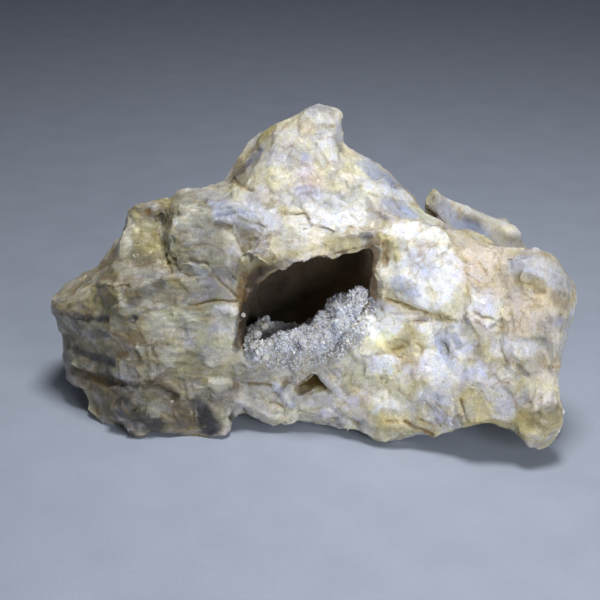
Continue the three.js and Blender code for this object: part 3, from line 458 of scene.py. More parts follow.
    ("white", 3.5, 0.85, -0.3, [(17.5, -21, 36), (21.5, -22.5, 33.5)]),
    ("yellow", 3.6, 0.8, 0, [(21, -24, 30), (26, -25, 30.5), (29, -26, 32)]),
    ("seam", 1.8, 0.7, 0.2, [(23.5, -24, 29), (26.5, -25.2, 30.3)]),
    ("ochre", 0.7, 0.8, 0.5, [(23.5, -24.2, 28.2), (26.2, -25, 29.3)]),
    ("ochre", 0.5, 0.7, 0.3, [(30, -26.5, 31), (31.3, -26.8, 30), (31, -27, 28.3)]),
    ("blue", 2.0, 0.8, 0, [(36.3, -26.5, 33), (38.5, -28, 29)]),
    ("slate", 0.7, 0.5, 0, [(37, -26.5, 32), (38.6, -28, 29.4)]),
    ("blue", 0.9, 0.8, 0, [(40.2, -27.5, 33), (41.2, -28.5, 30.5)]),
    ("lilac", 1.4, 0.4, 0, [(39, -29, 28), (42, -31.5, 25)]),
    ("bluewhite", 1.4, 0.8, 0, [(35, -29.5, 25.5), (37, -30.5, 24)]),
    ("purple", 1.3, 0.4, 0, [(52, -29.5, 38.5), (51.8, -31, 35), (53.4, -33.1, 28.1)]),
    ("brown", 0.35, 0.85, 0.3, [(51.2, -28.6, 41), (51.7, -30.2, 38), (51.6, -31.6, 34.5),
        (51.4, -32.6, 31.7), (53.4, -33.1, 28.8)]),
    ("slate", 0.8, 0.7, 0.2, [(56.4, -33, 27.7), (58.4, -34.6, 25.9)]),
    ("yellow", 2.6, 0.8, 0, [(47, -31.5, 32.5), (50.5, -32.5, 31.5)]),
    ("yellow", 2.9, 0.75, 0, [(44, -36, 19.5), (47, -37.5, 17)]),
    ("yellow", 4.1, 0.75, 0, [(58, -40, 15), (65, -39, 12.5)]),
    ("lilac", 2.6, 0.8, 0, [(33, -31, 17.5), (37, -33.5, 18)]),
    ("lilac", 2.0, 0.7, 0, [(52, -37, 18.5), (54, -38, 16.5)]),
    ("white", 2.6, 0.85, 0, [(21, -27.5, 14), (24.5, -29.5, 12)]),
    ("ochre", 0.6, 0.8, 0.7, [(41, -35, 18), (41.5, -36, 15), (42, -35.5, 10.5)]),
    ("yellow", 3.0, 0.7, 0, [(22, -29.4, 8.6), (28, -30.3, 8.4), (34, -32, 6.5)]),
    ("ochre", 0.7, 0.7, 0.3, [(22, -29.4, 8.4), (25, -30.3, 8.7)]),
    ("ochre", 0.8, 0.85, 0.4, [(27.1, -30.3, 8.9), (29.9, -30.2, 7.2), (34, -32.4, 5.8)]),
    ("brown", 0.5, 0.8, 0.3, [(27, -30.3, 9.3), (31, -31, 7.4), (34.4, -32.7, 5.8)]),
    ("ochre", 0.7, 0.8, 0.3, [(31.1, -30.8, 10.5), (34.3, -32.2, 9.2)]),
    ("dark", 0.5, 0.8, 0.5, [(36.2, -33, 9.3)]),
    ("dark", 0.6, 0.9, 0.9, [(20.5, -26.5, 19.5)]),
    ("yellow", 1.8, 0.8, 0, [(44, -37.5, 12.8), (48, -38.5, 13), (53, -38, 11)]),
    ("seam", 1.0, 0.7, 0, [(45, -38, 12.2), (52, -38, 10.5)]),
    ("olive", 3.5, 0.8, 0, [(61.5, -41, 16), (65.5, -40, 17)]),
    ("dark", 0.5, 0.6, 0.3, [(59.5, -38.5, 19.5), (61.5, -39.8, 17)]),
    ("lilac", 0.9, 0.7, 0, [(70, -28.5, 42), (68.5, -34, 33), (67, -36, 21.5)]),
    ("white", 3.5, 0.7, 0, [(36, -30.5, 22), (40, -27.5, 31)]),
    ("peach", 4.6, 0.6, 0, [(59, -31.5, 37.5), (62.5, -35, 30.5)]),
    ("white", 2.3, 0.7, 0, [(59, -32.5, 32.5), (51, -32.5, 33.5)]),
    # hollow rim and around crust
    ("grey", 2.0, 0.8, 0, [(-18.5, -18.5, 20), (-10, -19.5, 19.5), (-1.5, -21.5, 21),
        (6.5, -21.5, 23), (10.5, -23.5, 29)]),
    ("ochre", 0.6, 0.7, 0.4, [(-14.5, -18, 15), (-10, -18.5, 14)]),
    ("ochre", 0.6, 0.7, 0.4, [(-10, -20.5, 9.5), (-7, -21.5, 9)]),
    ("bluewhite", 1.4, 0.8, -0.5, [(-8.5, -19, 13.5), (-4.5, -22, 10)]),
    ("bluewhite", 1.4, 0.8, -0.5, [(-3, -19.5, 17), (-0.5, -18, 12.5)]),
    ("yellow", 0.7, 0.6, 0, [(-4, -19.5, 18), (-1.5, -19, 12)]),
    ("grey", 2.0, 0.8, -0.3, [(4.5, -23, 18.5), (7.5, -22.5, 15.5)]),
    ("grey", 1.7, 0.8, 0, [(-2.5, -22.5, 11.5), (2.5, -22, 11.5), (6.5, -22.5, 12)]),
    ("cream", 3.5, 0.8, 0, [(-16, -19.5, 10), (-11.5, -22, 8)]),
    ("dark", 1.2, 0.8, 0.8, [(-21.5, -21.5, 6), (-21, -19.5, 3)]),
    ("yellow", 3.5, 0.9, 0, [(0.5, -15.5, 16), (3, -18, 15)]),
    ("ochre", 2.6, 0.6, 0, [(0.5, -15.5, 16), (3, -18, 16)]),
    # hollow interior: ochre stain, and brown and dark painted shade, down its left wall
    ("ochre", 3.0, 0.75, 0, [(-12, -19, 50), (-14.2, -17.5, 46), (-15.5, -16.6, 42), (-16, -16.9, 38)]),
    ("brown", 1.9, 0.75, 0, [(-12, -18.5, 49), (-13.8, -17.5, 45), (-14.6, -16.6, 41.5),
        (-15.5, -16.9, 38)]),
    ("dark", 1.0, 0.7, 0.2, [(-16.3, -17.5, 38), (-17.3, -17.5, 34), (-18.3, -18.3, 30)]),
    # streaks and spots that lie over the rest
    ("bluewhite", 2.4, 0.7, 0, [(17.2, -18, 40), (17.4, -19, 37.5)]),
    ("blue", 2.1, 0.9, 0, [(36, -26.5, 33.2), (37.5, -27, 31), (38.8, -28, 28.6)]),
    ("slate", 0.7, 0.7, 0, [(36.6, -26.5, 32.2), (37.6, -27.2, 30.8), (38.6, -28, 29.2)]),
    ("blue", 1.1, 0.9, 0, [(40, -27.3, 33.4), (41.3, -28.3, 30.8)]),
    ("bluewhite", 2.6, 0.5, 0, [(36.5, -29.5, 26.5), (37, -31, 23)]),
    ("lilac", 1.2, 0.5, 0, [(39.5, -29.5, 28), (42.5, -32, 23.5)]),
    ("tan", 1.9, 0.5, 0, [(65.7, -28.8, 46.5), (66.5, -29, 44.5)]),
    ("seam", 2.0, 0.75, 0, [(56.5, -26.5, 50), (60.5, -27.8, 49)]),
    ("ochre", 1.0, 0.8, 0.3, [(20.8, -18.5, 58.3), (21.8, -20, 55), (20.8, -20.3, 52)]),
    ("yellow", 1.2, 0.9, -0.3, [(19.5, -17.8, 59), (23.3, -19.4, 57.5), (23.8, -20.3, 53.5)]),
    # painted shade: dark and brown strokes down the hollow's left wall and under its upper lip, among ochre
    # and seam stains
    ("dark", 1.4, 0.85, 0.8, [(-17, -18.8, 29.3), (-18.3, -18.6, 27)]),
    ("ochre", 1.3, 0.6, 0.2, [(-17, -16.5, 47), (-17, -16, 42), (-17.2, -17, 37)]),
    ("seam", 2.2, 0.6, 0, [(-16.5, -18, 49), (-12.5, -22, 53), (-8, -24, 52.5)]),
    ("dark", 1.9, 0.55, 0, [(-13.4, -17.5, 47.5), (-11.2, -18.8, 48.7), (-9, -21, 50.5)]),
    ("brown", 1.6, 0.8, 0, [(-14.6, -17, 45.5), (-14.8, -16, 41), (-15.5, -16.5, 36)]),
    ("cream", 2.0, 0.75, 0, [(40.5, 18.5, 56), (47, 17.5, 53.5), (53, 17, 51), (60, 15.5, 47.5)]),
    ("blue", 2.2, 0.7, 0, [(44, 16.5, 51), (49, 15.8, 48.6), (54, 15.5, 46.8)]),
    ("slate", 1.5, 0.85, 0, [(46.8, 16.2, 50), (50, 15.8, 48.3)]),
    ("ochre", 0.5, 0.6, 0.3, [(45, 17.5, 54), (46, 16.3, 51.5), (51, 16.5, 50.4), (57, 15.8, 47.6)]),
    ("olive", 1.7, 0.9, 0.3, [(37.8, 20, 54), (38.6, 18, 50.5)]),
    ("brown", 0.9, 0.9, 0.5, [(38, 19.8, 53), (38.6, 18, 51)]),
    # the brown of the hollow's back wall, partly painted shade
    ("brown", 3.5, 0.6, 0, [(-9, 9, 32.5), (-5.5, -24, 50)]),
    ("brown", 3.5, 0.6, 0, [(7, 9.5, 37), (15.5, 4, 42)]),
]

# Breaks of the rock, coarse to fine: zone, size, stretch along x, y and z, tilt, step, deepest move and
# seed, with lengths in millimetres.
BREAKS = [
    ("all", 13.0, (1.0, 1.0, 1.0), 0.11, 0.2, 1.0, 11),
    ("left", 7.0, (1.7, 1.0, 0.6), 0.1, 0.1, 0.3, 12),
    ("right", 7.0, (1.0, 1.0, 1.1), 0.1, 0.1, 0.32, 14),
    ("left rough", 3.2, (1.5, 1.0, 0.6), 0.14, 0.06, 0.13, 13),
    ("right rough", 3.0, (1.0, 1.0, 1.0), 0.11, 0.05, 0.12, 15),
]

# Broad tones, partly the stone's own colour and partly painted light and shade: painted shade darkens the
# left part, the lower front at the left and the right end's rim, and painted light lightens the band under
# the crust. Each has a centre and radius in millimetres, and how much lighter each of red, green and blue
# looks.
TONES_AND_PAINTED_SHADING = [
    ((-62, -9, 34), 12, (1.12, 1.11, 1.04)),
    ((-50, -16, 35), 10, (0.82, 0.83, 0.85)),
    ((-42, 0, 61), 7, (0.84, 0.84, 0.84)),
    ((-52, -8, 47), 8, (0.88, 0.89, 0.86)),
    ((-28, -9, 63), 12, (0.87, 0.89, 0.94)),
    ((-28, -13, 54), 10, (0.8, 0.8, 0.79)),
    ((-25, -15, 43), 12, (0.74, 0.75, 0.78)),
    ((-29, -19, 27), 13, (0.8, 0.82, 0.87)),
    ((-42, -21, 28), 9, (0.84, 0.84, 0.84)),
    ((-36, -24, 7), 14, (0.73, 0.73, 0.74)),
    ((4, 1, 88), 9, (0.78, 0.8, 0.83)),
    ((-4, -4, 75), 10, (0.96, 0.97, 1.0)),
    ((0, -8, 71), 8, (1.0, 0.98, 1.05)),
    ((6, -12, 63), 10, (0.95, 0.96, 0.99)),
    ((-5, -20, 57), 9, (0.82, 0.82, 0.84)),
    ((24, -3, 68), 12, (0.9, 0.91, 0.95)),
    ((50, 15, 50), 16, (0.94, 0.97, 1.05)),
    ((-14, -20, 9), 12, (0.8, 0.81, 0.86)),
    ((14, -25, 13), 8, (1.13, 1.12, 1.16)),
    ((33, -23, 49), 12, (1.04, 1.05, 1.1)),
    ((58, -23, 53), 9, (0.85, 0.86, 0.88)),
    # painted shade on the right end's rim and on the foot below it
    ((67, -25, 49), 9, (0.7, 0.71, 0.72)),
    ((67, -29.5, 40), 8, (0.78, 0.79, 0.82)),
    ((67, -34, 29), 8, (0.86, 0.86, 0.88)),
    ((66, -36, 6), 10, (0.86, 0.86, 0.83)),
    ((52, -25, 48), 10, (0.96, 0.95, 0.92)),
    ((48, -32, 33), 12, (0.94, 0.94, 1.0)),
    ((61, -33, 33), 13, (0.9, 0.91, 0.93)),
    ((54, -38, 16), 12, (0.87, 0.87, 0.86)),
    ((30, -30, 13), 10, (1.02, 1.02, 1.03)),
    ((34, -28, 29), 10, (1.08, 1.09, 1.13)),
    ((20, -23, 31), 6, (1.12, 1.12, 1.1)),
    ((-5, -20, 21), 8, (1.12, 1.12, 1.12)),
    ((-60, -10, 18), 9, (0.95, 0.95, 0.94)),
    ((-46, -3, 56), 7, (0.97, 0.98, 1.07)),
    ((-31, -14, 50), 7, (1.0, 1.0, 0.95)),
    ((-54, -18, 25), 8, (1.03, 1.0, 0.93)),
    ((-32, -17, 37), 7, (0.98, 1.0, 1.06)),
    ((-31, -21, 17), 8, (0.85, 0.85, 0.84)),
    ((-43, -11, 47), 8, (0.83, 0.83, 0.82)),
    ((-37, -14, 42), 9, (0.8, 0.8, 0.8)),
    ((-42, -22, 25), 9, (0.79, 0.79, 0.78)),
    ((-46.5, -22, 11), 8, (0.75, 0.75, 0.74)),
    ((-30.5, -19.5, 27), 6, (1.09, 1.09, 1.08)),
    ((-18.5, -18, 22), 8, (0.86, 0.86, 0.85)),
    ((-21, -21, 16), 9, (0.78, 0.78, 0.77)),
    ((-26, -22.5, 8), 9, (0.8, 0.8, 0.79)),
    ((21.5, -22, 35), 9, (1.2, 1.21, 1.23)),
    ((24, -26.5, 24), 9, (1.2, 1.21, 1.24)),
    ((31, -9, 62), 9, (1.05, 1.1, 1.18)),
    ((50, -26, 48), 16, (0.965, 0.98, 1.06)),
    ((50, -33, 30), 15, (0.95, 0.96, 1.0)),
    ((64, -31, 36), 9, (0.9, 0.92, 0.97)),
    ((33, -25, 41), 7, (1.05, 1.05, 1.07)),
]

# How much redder and less blue the warm parts of the quartz are.
WARM = np.array([0.03, 0.025, -0.17])

# The power that turns a tone as the eye sees it into light.
EYE_POWER = 2.2

# Rounds of smoothing: over the whole rock, and over its rounded places before and after the breaks.
ROCK_ROUNDS = 22
EARLY_ROUNDS = 40
LATE_ROUNDS = 14

# How far a round of smoothing swells the surface back, so that corners keep their place.
SWELL = 0.51

# The x at which the left of the stone meets its right, and the width of the change, in millimetres.
LEFT_END = -24
LEFT_BLEND = 12

# Strokes of these colours, up to this half width, are thin cracks. Points are looked for as far off as
# the search, and an amount fades from its most inside a crack to nothing at its reach, in millimetres.
CRACK_COLOURS = ("dark", "brown", "ochre", "slate", "purple")
CRACK_WIDTH = 0.7
CRACK_SEARCH = 4
CRACK_REACH = 1.5
CRACK_MOST = 1.4

# The angles over which a crease stays sharp, in degrees.
ROCK_CREASE = 38
CRYSTAL_CREASE = 30

# The corners of a cell, and a cell with the cells around it.
CORNERS = [(i, j, k) for i in (0, 1) for j in (0, 1) for k in (0, 1)]
AROUND = [(i, j, k) for i in (-1, 0, 1) for j in (-1, 0, 1) for k in (-1, 0, 1)]

# Large odd numbers, and shifts, that turn a cell's place into a number with no pattern.
PLACE_STIRS = (73856093, 19349663, 83492791)
SEED_STIR = 2654435761
BIT_STIRS = ((15, 2246822519), (13, 3266489917))
LAST_SHIFT = 16
ALL_BITS = 0xFFFFFFFF


def scatter(cells, seed):
    """A random number from 0 to 1 for each whole-number cell, the same on every run."""
    whole = cells.astype(np.int64).astype(np.uint32)
    stirred = np.zeros(len(whole), np.uint32)
    for axis, stir in enumerate(PLACE_STIRS):
        stirred ^= whole[:, axis] * np.uint32(stir)
    stirred += np.uint32((seed * SEED_STIR) & ALL_BITS)
    for shift, stir in BIT_STIRS:
        stirred ^= stirred >> np.uint32(shift)
        stirred *= np.uint32(stir)
    stirred ^= stirred >> np.uint32(LAST_SHIFT)
    return stirred / float(ALL_BITS)


def noise(points, size, seed, layers=1):
    """Smooth noise from -1 to 1, with features of that size and each further layer half as large."""
    total = np.zeros(len(points))
    reach = 0.0
    for layer in range(layers):
        scaled = points * (2**layer / size) + 0.37 * layer
        base = np.floor(scaled)
        part = scaled - base
        blend = part * part * (3 - 2 * part)
        share = 0.5**layer
        reach += share
        for corner in CORNERS:
            weight = np.where(corner, blend, 1 - blend).prod(axis=1)
            total += share * weight * (scatter(base + corner, seed + layer) * 2 - 1)
    return total / reach


def drift(points, size, amount, seed):
    """The points pushed about by smooth noise, to make straight edges wander."""
    push = [noise(points, size, seed + axis, 2) for axis in range(3)]
    return points + amount * np.stack(push, axis=1)


def nearest_cells(points, size, seed):
    """For each point, the numbers of its nearest and next cells, and how deep inside the nearest it is."""
    scaled = points / size
    base = np.floor(scaled)
    first = np.full(len(points), np.inf)
    second = np.full(len(points), np.inf)
    owner = np.zeros_like(base)
    next_owner = np.zeros_like(base)
    for step in AROUND:
        cell = base + step
        seeds = cell + np.stack([scatter(cell, seed + axis) for axis in range(3)], axis=1)
        gap = ((seeds - scaled) ** 2).sum(axis=1)
        closer = gap < first
        next_closer = ~closer & (gap < second)
        next_owner[next_closer] = cell[next_closer]
        next_owner[closer] = owner[closer]
        owner[closer] = cell[closer]
        second = np.where(closer, first, np.minimum(second, gap))
        first = np.where(closer, gap, first)
    both = np.concatenate([owner, next_owner])
    owners, number = np.unique(both, axis=0, return_inverse=True)
    number = number.ravel()
    count = len(points)
    return number[:count], number[count:], owners, np.sqrt(second) - np.sqrt(first)


def per_cell(number, count, values):
    """The mean of a value or vector over each cell."""
    size = np.maximum(np.bincount(number, minlength=count), 1)
    if values.ndim == 1:
        return np.bincount(number, values, count) / size
    sums = [np.bincount(number, values[:, axis], count) for axis in range(3)]
    return np.stack(sums, axis=1) / size[:, None]


def unit(vectors):
    """The vectors with a length of 1."""
    return vectors / np.maximum(np.linalg.norm(vectors, axis=1), 1e-9)[:, None]


def facing(points, faces):
    """The outward direction at each point of a mesh."""
    spans = np.cross(points[faces[:, 2]] - points[faces[:, 0]], points[faces[:, -1]] - points[faces[:, 1]])
    total = np.zeros_like(points)
    for axis in range(3):
        for corner in range(faces.shape[1]):
            total[:, axis] += np.bincount(faces[:, corner], spans[:, axis], len(points))
    return unit(total)


def relaxed(points, edges, rounds, swell=0.0):
    """The points after each has moved halfway to the middle of its neighbours, that many times.
    A swell moves them back out after each round, so that corners keep their place."""
    count = len(points)
    degree = np.bincount(edges.ravel(), minlength=count)[:, None]
    result = points.copy()
    for _ in range(rounds):
        for share in (0.5, -swell) if swell else (0.5,):
            total = np.zeros_like(result)
            for axis in range(3):
                total[:, axis] += np.bincount(edges[:, 0], result[edges[:, 1], axis], count)
                total[:, axis] += np.bincount(edges[:, 1], result[edges[:, 0], axis], count)
            result += share * (total / degree - result)
    return result


def distance_from(points, centre):
    """How far each point is from a centre."""
    return np.linalg.norm(points - np.array(centre, float), axis=1)


def pushed(points, pushes):
    """The points after the pushes, each of which fades out towards its radius."""
    moved = points.copy()
    for centre, radius, move in pushes:
        share = 1 - smooth_step(distance_from(points, centre) / radius)
        moved += share[:, None] * np.array(move, float)
    return moved


def rounded(points, edges, rounds):
    """The points with the rounded places smoothed."""
    share = np.zeros(len(points))
    for centre, radius in ROUNDED:
        gap = distance_from(points, centre) / radius
        share = np.maximum(share, 1 - smooth_step(gap * 1.6 - 0.6))
    return points + share[:, None] * (relaxed(points, edges, rounds, SWELL) - points)


def sunk(points, edges, out, rounds):
    """How deep each point lies in a dip of the surface, whose width grows with the rounds."""
    return ((relaxed(points, edges, rounds) - points) * out).sum(axis=1)


def cell_places(points, size, stretch, seed):
    """The points as the cells of a break see them: stretched, and pushed about a little."""
    return drift(points / np.array(stretch), size * 0.6, size * 0.22, seed + 50)


def broken(points, faces, size, stretch, tilt, step, deepest, seed, strength=1.0):
    """Moves each cell of the surface towards a flat of its own, so that the rock looks broken."""
    wandering = cell_places(points, size, stretch, seed)
    number, following, owners, inside = nearest_cells(wandering, size, seed)
    out = facing(points, faces)
    middle = per_cell(number, len(owners), points)
    flat = unit(per_cell(number, len(owners), out))
    turn = np.stack([scatter(owners, seed + 20 + axis) for axis in range(3)], axis=1) - 0.5
    flat = unit(flat + 2 * tilt * turn)
    lift = step * (scatter(owners, seed + 30) * 2 - 1)
    empty = np.bincount(number, minlength=len(owners)) == 0
    following = np.where(empty[following], number, following)
    share = 0.5 + 0.5 * smooth_step(inside / 0.12)
    moved = np.zeros_like(points)
    for cell, part in ((number, share), (following, 1 - share)):
        height = ((points - middle[cell]) * flat[cell]).sum(axis=1) - lift[cell]
        agree = np.clip((out * flat[cell]).sum(axis=1) * 2 - 0.3, 0, 1)
        move = np.clip(-height, -deepest, deepest) * agree * strength * part
        moved += flat[cell] * move[:, None]
    return points + moved


def zone_strength(points, zone):
    """How much of a break each place of a zone takes."""
    strength = np.ones(len(points))
    left = smooth_step((LEFT_END - points[:, 0]) / LEFT_BLEND + 0.5)
    if zone.startswith("left"):
        strength = left
    if zone.startswith("right"):
        strength = 1 - left
        strength = strength * (1 - 0.45 * smooth_step((points[:, 2] - 66) / 8))
    if zone.endswith("rough"):
        strength = strength * smooth_step(noise(points, 9, 90, 2) * 1.8 + 0.45)
    return strength


def distance_to_stroke(points, stroke):
    """How far each point is from the line through a stroke's points."""
    nearest = np.full(len(points), np.inf)
    ends = [np.array(end, float) for end in stroke]
    starts = ends[:-1] or ends
    for start, end in zip(starts, ends[1:] or ends):
        along = end - start
        part = np.clip((points - start) @ along / max(along @ along, 1e-9), 0, 1)
        gap = points - start - part[:, None] * along
        nearest = np.minimum(nearest, np.sqrt((gap * gap).sum(axis=1)))
    return nearest


def landed(stroke, points):
    """The stroke's points moved on to the surface."""
    return [points[((points - np.array(end)) ** 2).sum(axis=1).argmin()] for end in stroke]


def smooth_step(values):
    """The values eased from 0 to 1, and held there outside that range."""
    inside = np.clip(values, 0, 1)
    return inside * inside * (3 - 2 * inside)


def grooved(points, out, strokes):
    """Cuts the strokes' grooves and raises their knobs."""
    moved = points.copy()
    wandering = drift(points, 3.0, 0.5, 400)
    for _, half_width, _, cut, stroke in strokes:
        if cut == 0:
            continue
        gap = distance_to_stroke(wandering, landed(stroke, points)) / (half_width * 1.2)
        profile = 1 - smooth_step(gap)
        moved -= out * (cut * profile)[:, None]
    return moved


def wandering_places(points):
    """The points pushed about a little, so that the edges of facets and strokes aren't straight."""
    return drift(drift(points, 5.0, 0.9, 410), 1.4, 0.3, 420)


def ring_frame(ring):
    """A ring's middle, the direction that it faces, and the direction away from it at each side."""
    middle = ring.mean(axis=0)
    spans = np.roll(ring, -1, axis=0) - ring
    flat = unit(np.cross(ring - middle, spans).sum(axis=0)[None])[0]
    away = unit(np.cross(spans, flat))
    away *= np.sign(((ring - middle) * away).sum(axis=1))[:, None]
    return middle, flat, away


def outside_ring(points, ring, away):
    """How far each point is outside a ring, and below 0 for a point inside it."""
    return np.max([(points - corner) @ side for corner, side in zip(ring, away)], axis=0)


def pane_places(points, wandering, corners):
    """The points over a pane, how far each is outside its edge, how high over its plane, and its
    outward direction."""
    ring = np.array(landed(corners, points))
    middle, flat, away = ring_frame(ring)
    reach = np.linalg.norm(ring - middle, axis=1).max() + 1.5
    near = np.flatnonzero(((points - middle) ** 2).sum(axis=1) < reach**2)
    gap = outside_ring(wandering[near], ring, away)
    height = (points[near] - middle) @ flat
    return near, gap, height, flat


def paned(points, out):
    """Flattens the rock to each pane's plane, and lifts or sinks it."""
    moved = points.copy()
    wandering = wandering_places(points)
    for _, _, lift, corners in PANES:
        near, gap, height, flat = pane_places(points, wandering, corners)
        side = np.sign((out[near] @ flat).sum()) or 1.0
        facing_out = np.clip(side * (out[near] @ flat) * 2, 0, 1)
        share = smooth_step(0.5 - gap / (0.7 + 0.25 * abs(lift))) * facing_out
        share *= smooth_step(2.2 - np.abs(height) / 4)
        move = side * 0.5 * lift - 0.5 * np.clip(height, -1.0, 1.0)
        moved[near] += (share * move)[:, None] * flat
    return moved


def mixed(tint, colour, share):
    """The tint with that share of another colour in it at each point."""
    return tint + (colour - tint) * share[:, None]


def pane_tint(tint, points, colours):
    """Colours each pane, with a faint darker seam around some of them."""
    wandering = wandering_places(points)
    mottle = noise(points, 2.2, 430, 3)
    cloud = noise(points, 4.5, 435, 3)
    seams = smooth_step(noise(points, 5, 440, 2) * 2.5 + 0.2)
    for name, strength, _, corners in PANES:
        near, gap, height, _ = pane_places(points, wandering, corners)
        level = smooth_step(2.2 - np.abs(height) / 4)
        cover = smooth_step(0.5 - (gap + 0.3 + 1.2 * mottle[near]) / 1.7) * strength * level
        cover *= np.clip(0.85 + 0.6 * cloud[near], 0, 1.1)
        tint[near] = mixed(tint[near], colours[name], cover)
        seam = np.exp(-((gap / 0.4) ** 2)) * seams[near] * level * 0.35
        tint[near] = mixed(tint[near], colours["ochre"], seam)
    return tint


def thin_stroke(name, half_width):
    """Whether a stroke is a thin crack, which the material draws sharp instead of the mesh's tint."""
    return half_width <= CRACK_WIDTH and name in CRACK_COLOURS


def crack_amounts(points, strokes):
    """How near each point is to a thin crack, from 0 far off to 1 inside it, and how rusty it is."""
    nearest = np.full(len(points), np.inf)
    rusty = np.zeros(len(points))
    wandering = drift(points, 2.2, 0.5, 450)
    for name, half_width, _, _, stroke in strokes:
        if not thin_stroke(name, half_width):
            continue
        line = landed(stroke, points)
        near = np.flatnonzero(distance_to_stroke(points, line) < CRACK_SEARCH)
        gap = distance_to_stroke(wandering[near], line) - 0.25 * half_width
        better = gap < nearest[near]
        nearest[near[better]] = gap[better]
        rusty[near[better]] = 1.0 if name == "ochre" else 0.0
    return np.clip(1 - nearest / CRACK_REACH, 0, CRACK_MOST) / CRACK_MOST, rusty


def painted(tint, points, strokes, colours, edge, seed):
    """Lays the strokes' colours over a tint, with wandering, mottled edges."""
    left = zone_strength(points, "left")
    across = noise(points * (0.35, 1.0, 1.0), 2.6, seed, 3)
    coarse = across * left + noise(points * (1.0, 1.0, 0.6), 3.0, seed + 4, 3) * (1 - left)
    fine = noise(points, 0.9, seed + 9, 2)
    for name, half_width, strength, *_, stroke in strokes:
        line = landed(stroke, points)
        near = distance_to_stroke(points, line) / half_width
        if thin_stroke(name, half_width):
            strength = strength * 0.3
        ragged = near + (coarse * 0.55 + fine * 0.3) * min(1.0, 0.4 + half_width / 4)
        cover = smooth_step((1 + edge - ragged) / (2 * edge)) * strength
        cover *= 0.8 + 0.2 * fine
        tint = mixed(tint, colours[name], np.clip(cover, 0, 1))
    return tint


def mesh_arrays(mesh):
    """A mesh's points in millimetres, its faces and its edges."""
    points = np.zeros(len(mesh.vertices) * 3, np.float32)
    mesh.vertices.foreach_get("co", points)
    corners = len(mesh.loops) // len(mesh.polygons)
    faces = np.zeros(len(mesh.loops), np.int32)
    mesh.loops.foreach_get("vertex_index", faces)
    edges = np.zeros(len(mesh.edges) * 2, np.int32)
    mesh.edges.foreach_get("vertices", edges)
    return points.reshape(-1, 3) / MM, faces.reshape(-1, corners), edges.reshape(-1, 2)


def put_points(mesh, points):
    """Moves a mesh's points to places in millimetres."""
    mesh.vertices.foreach_set("co", (points * MM).astype(np.float32).ravel())
    mesh.update()


def remeshed(source, voxel):
    """A closed, even mesh over a solid, with faces of one size."""
    copy = bpy.data.objects.new("remesh_copy", source.data.copy())
    bpy.context.scene.collection.objects.link(copy)
    remesh = copy.modifiers.new("remesh", "REMESH")
    remesh.mode = "VOXEL"
    remesh.voxel_size = voxel * MM
    mesh = evaluated_mesh(copy)
    bpy.data.objects.remove(copy)
    return mesh


def evaluated_mesh(thing):
    """An object's mesh with its modifiers applied."""
    graph = bpy.context.evaluated_depsgraph_get()
    return bpy.data.meshes.new_from_object(thing.evaluated_get(graph))


def thinned(mesh, weights, triangles):
    """The mesh collapsed to a number of triangles, which stay smallest where the weights are high."""
    thing = bpy.data.objects.new("thinning", mesh)
    bpy.context.scene.collection.objects.link(thing)
    group = thing.vertex_groups.new(name="keep")
    levels = np.clip((weights * 10).round().astype(int), 0, 10)
    for level in range(1, 11):
        members = np.flatnonzero(levels == level).tolist()
        group.add(members, level / 10, "REPLACE")
    decimate = thing.modifiers.new("thin", "DECIMATE")
    decimate.ratio = triangles / sum(len(face.vertices) - 2 for face in mesh.polygons)
    decimate.vertex_group = "keep"
    decimate.invert_vertex_group = True
    decimate.vertex_group_factor = 1.0
    decimate.use_collapse_triangulate = True
    result = evaluated_mesh(thing)
    bpy.data.objects.remove(thing)
    return result


def set_places(mesh, name, points):
    """Keeps a place for each point of the mesh, which thinning carries along."""
    attribute = mesh.attributes.new(name, "FLOAT_VECTOR", "POINT")
    attribute.data.foreach_set("vector", points.astype(np.float32).ravel())


def places(mesh, name):
    """The places that set_places kept."""
    values = np.zeros(len(mesh.vertices) * 3, np.float32)
    mesh.attributes[name].data.foreach_get("vector", values)
    return values.reshape(-1, 3).astype(float)


def set_colours(mesh, name, tint):
    """Gives each point of the mesh a colour, which the material reads by name."""
    attribute = mesh.color_attributes.new(name, "FLOAT_COLOR", "POINT")
    values = np.ones((len(tint), 4), np.float32)
    values[:, :3] = np.clip(tint, 0, 1)
    attribute.data.foreach_set("color", values.ravel())


def set_amounts(mesh, name, amounts):
    """Gives each point of the mesh an amount from 0 to 1, which the material reads by name."""
    attribute = mesh.attributes.new(name, "FLOAT", "POINT")
    attribute.data.foreach_set("value", np.clip(amounts, 0, 1).astype(np.float32))


def finish_piece(mesh, name, material, node, crease):
    """Makes an object of a finished mesh, with the CAD node and the material slot that it stands for."""
    mesh.name = name
    for face in mesh.polygons:
        face.use_smooth = True
    mesh.set_sharp_from_angle(angle=math.radians(crease))
    mesh.materials.clear()
    mesh.materials.append(material)
    piece = bpy.data.objects.new(name, mesh)
    bpy.context.scene.collection.objects.link(piece)
    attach(piece, "root")
    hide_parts(node)


def within_solid_box(points):
    """The points held inside the box around the CAD solids."""
    low = np.array(CAD_LOW) / MM
    high = np.array(CAD_HIGH) / MM
    return np.clip(points, low, high)


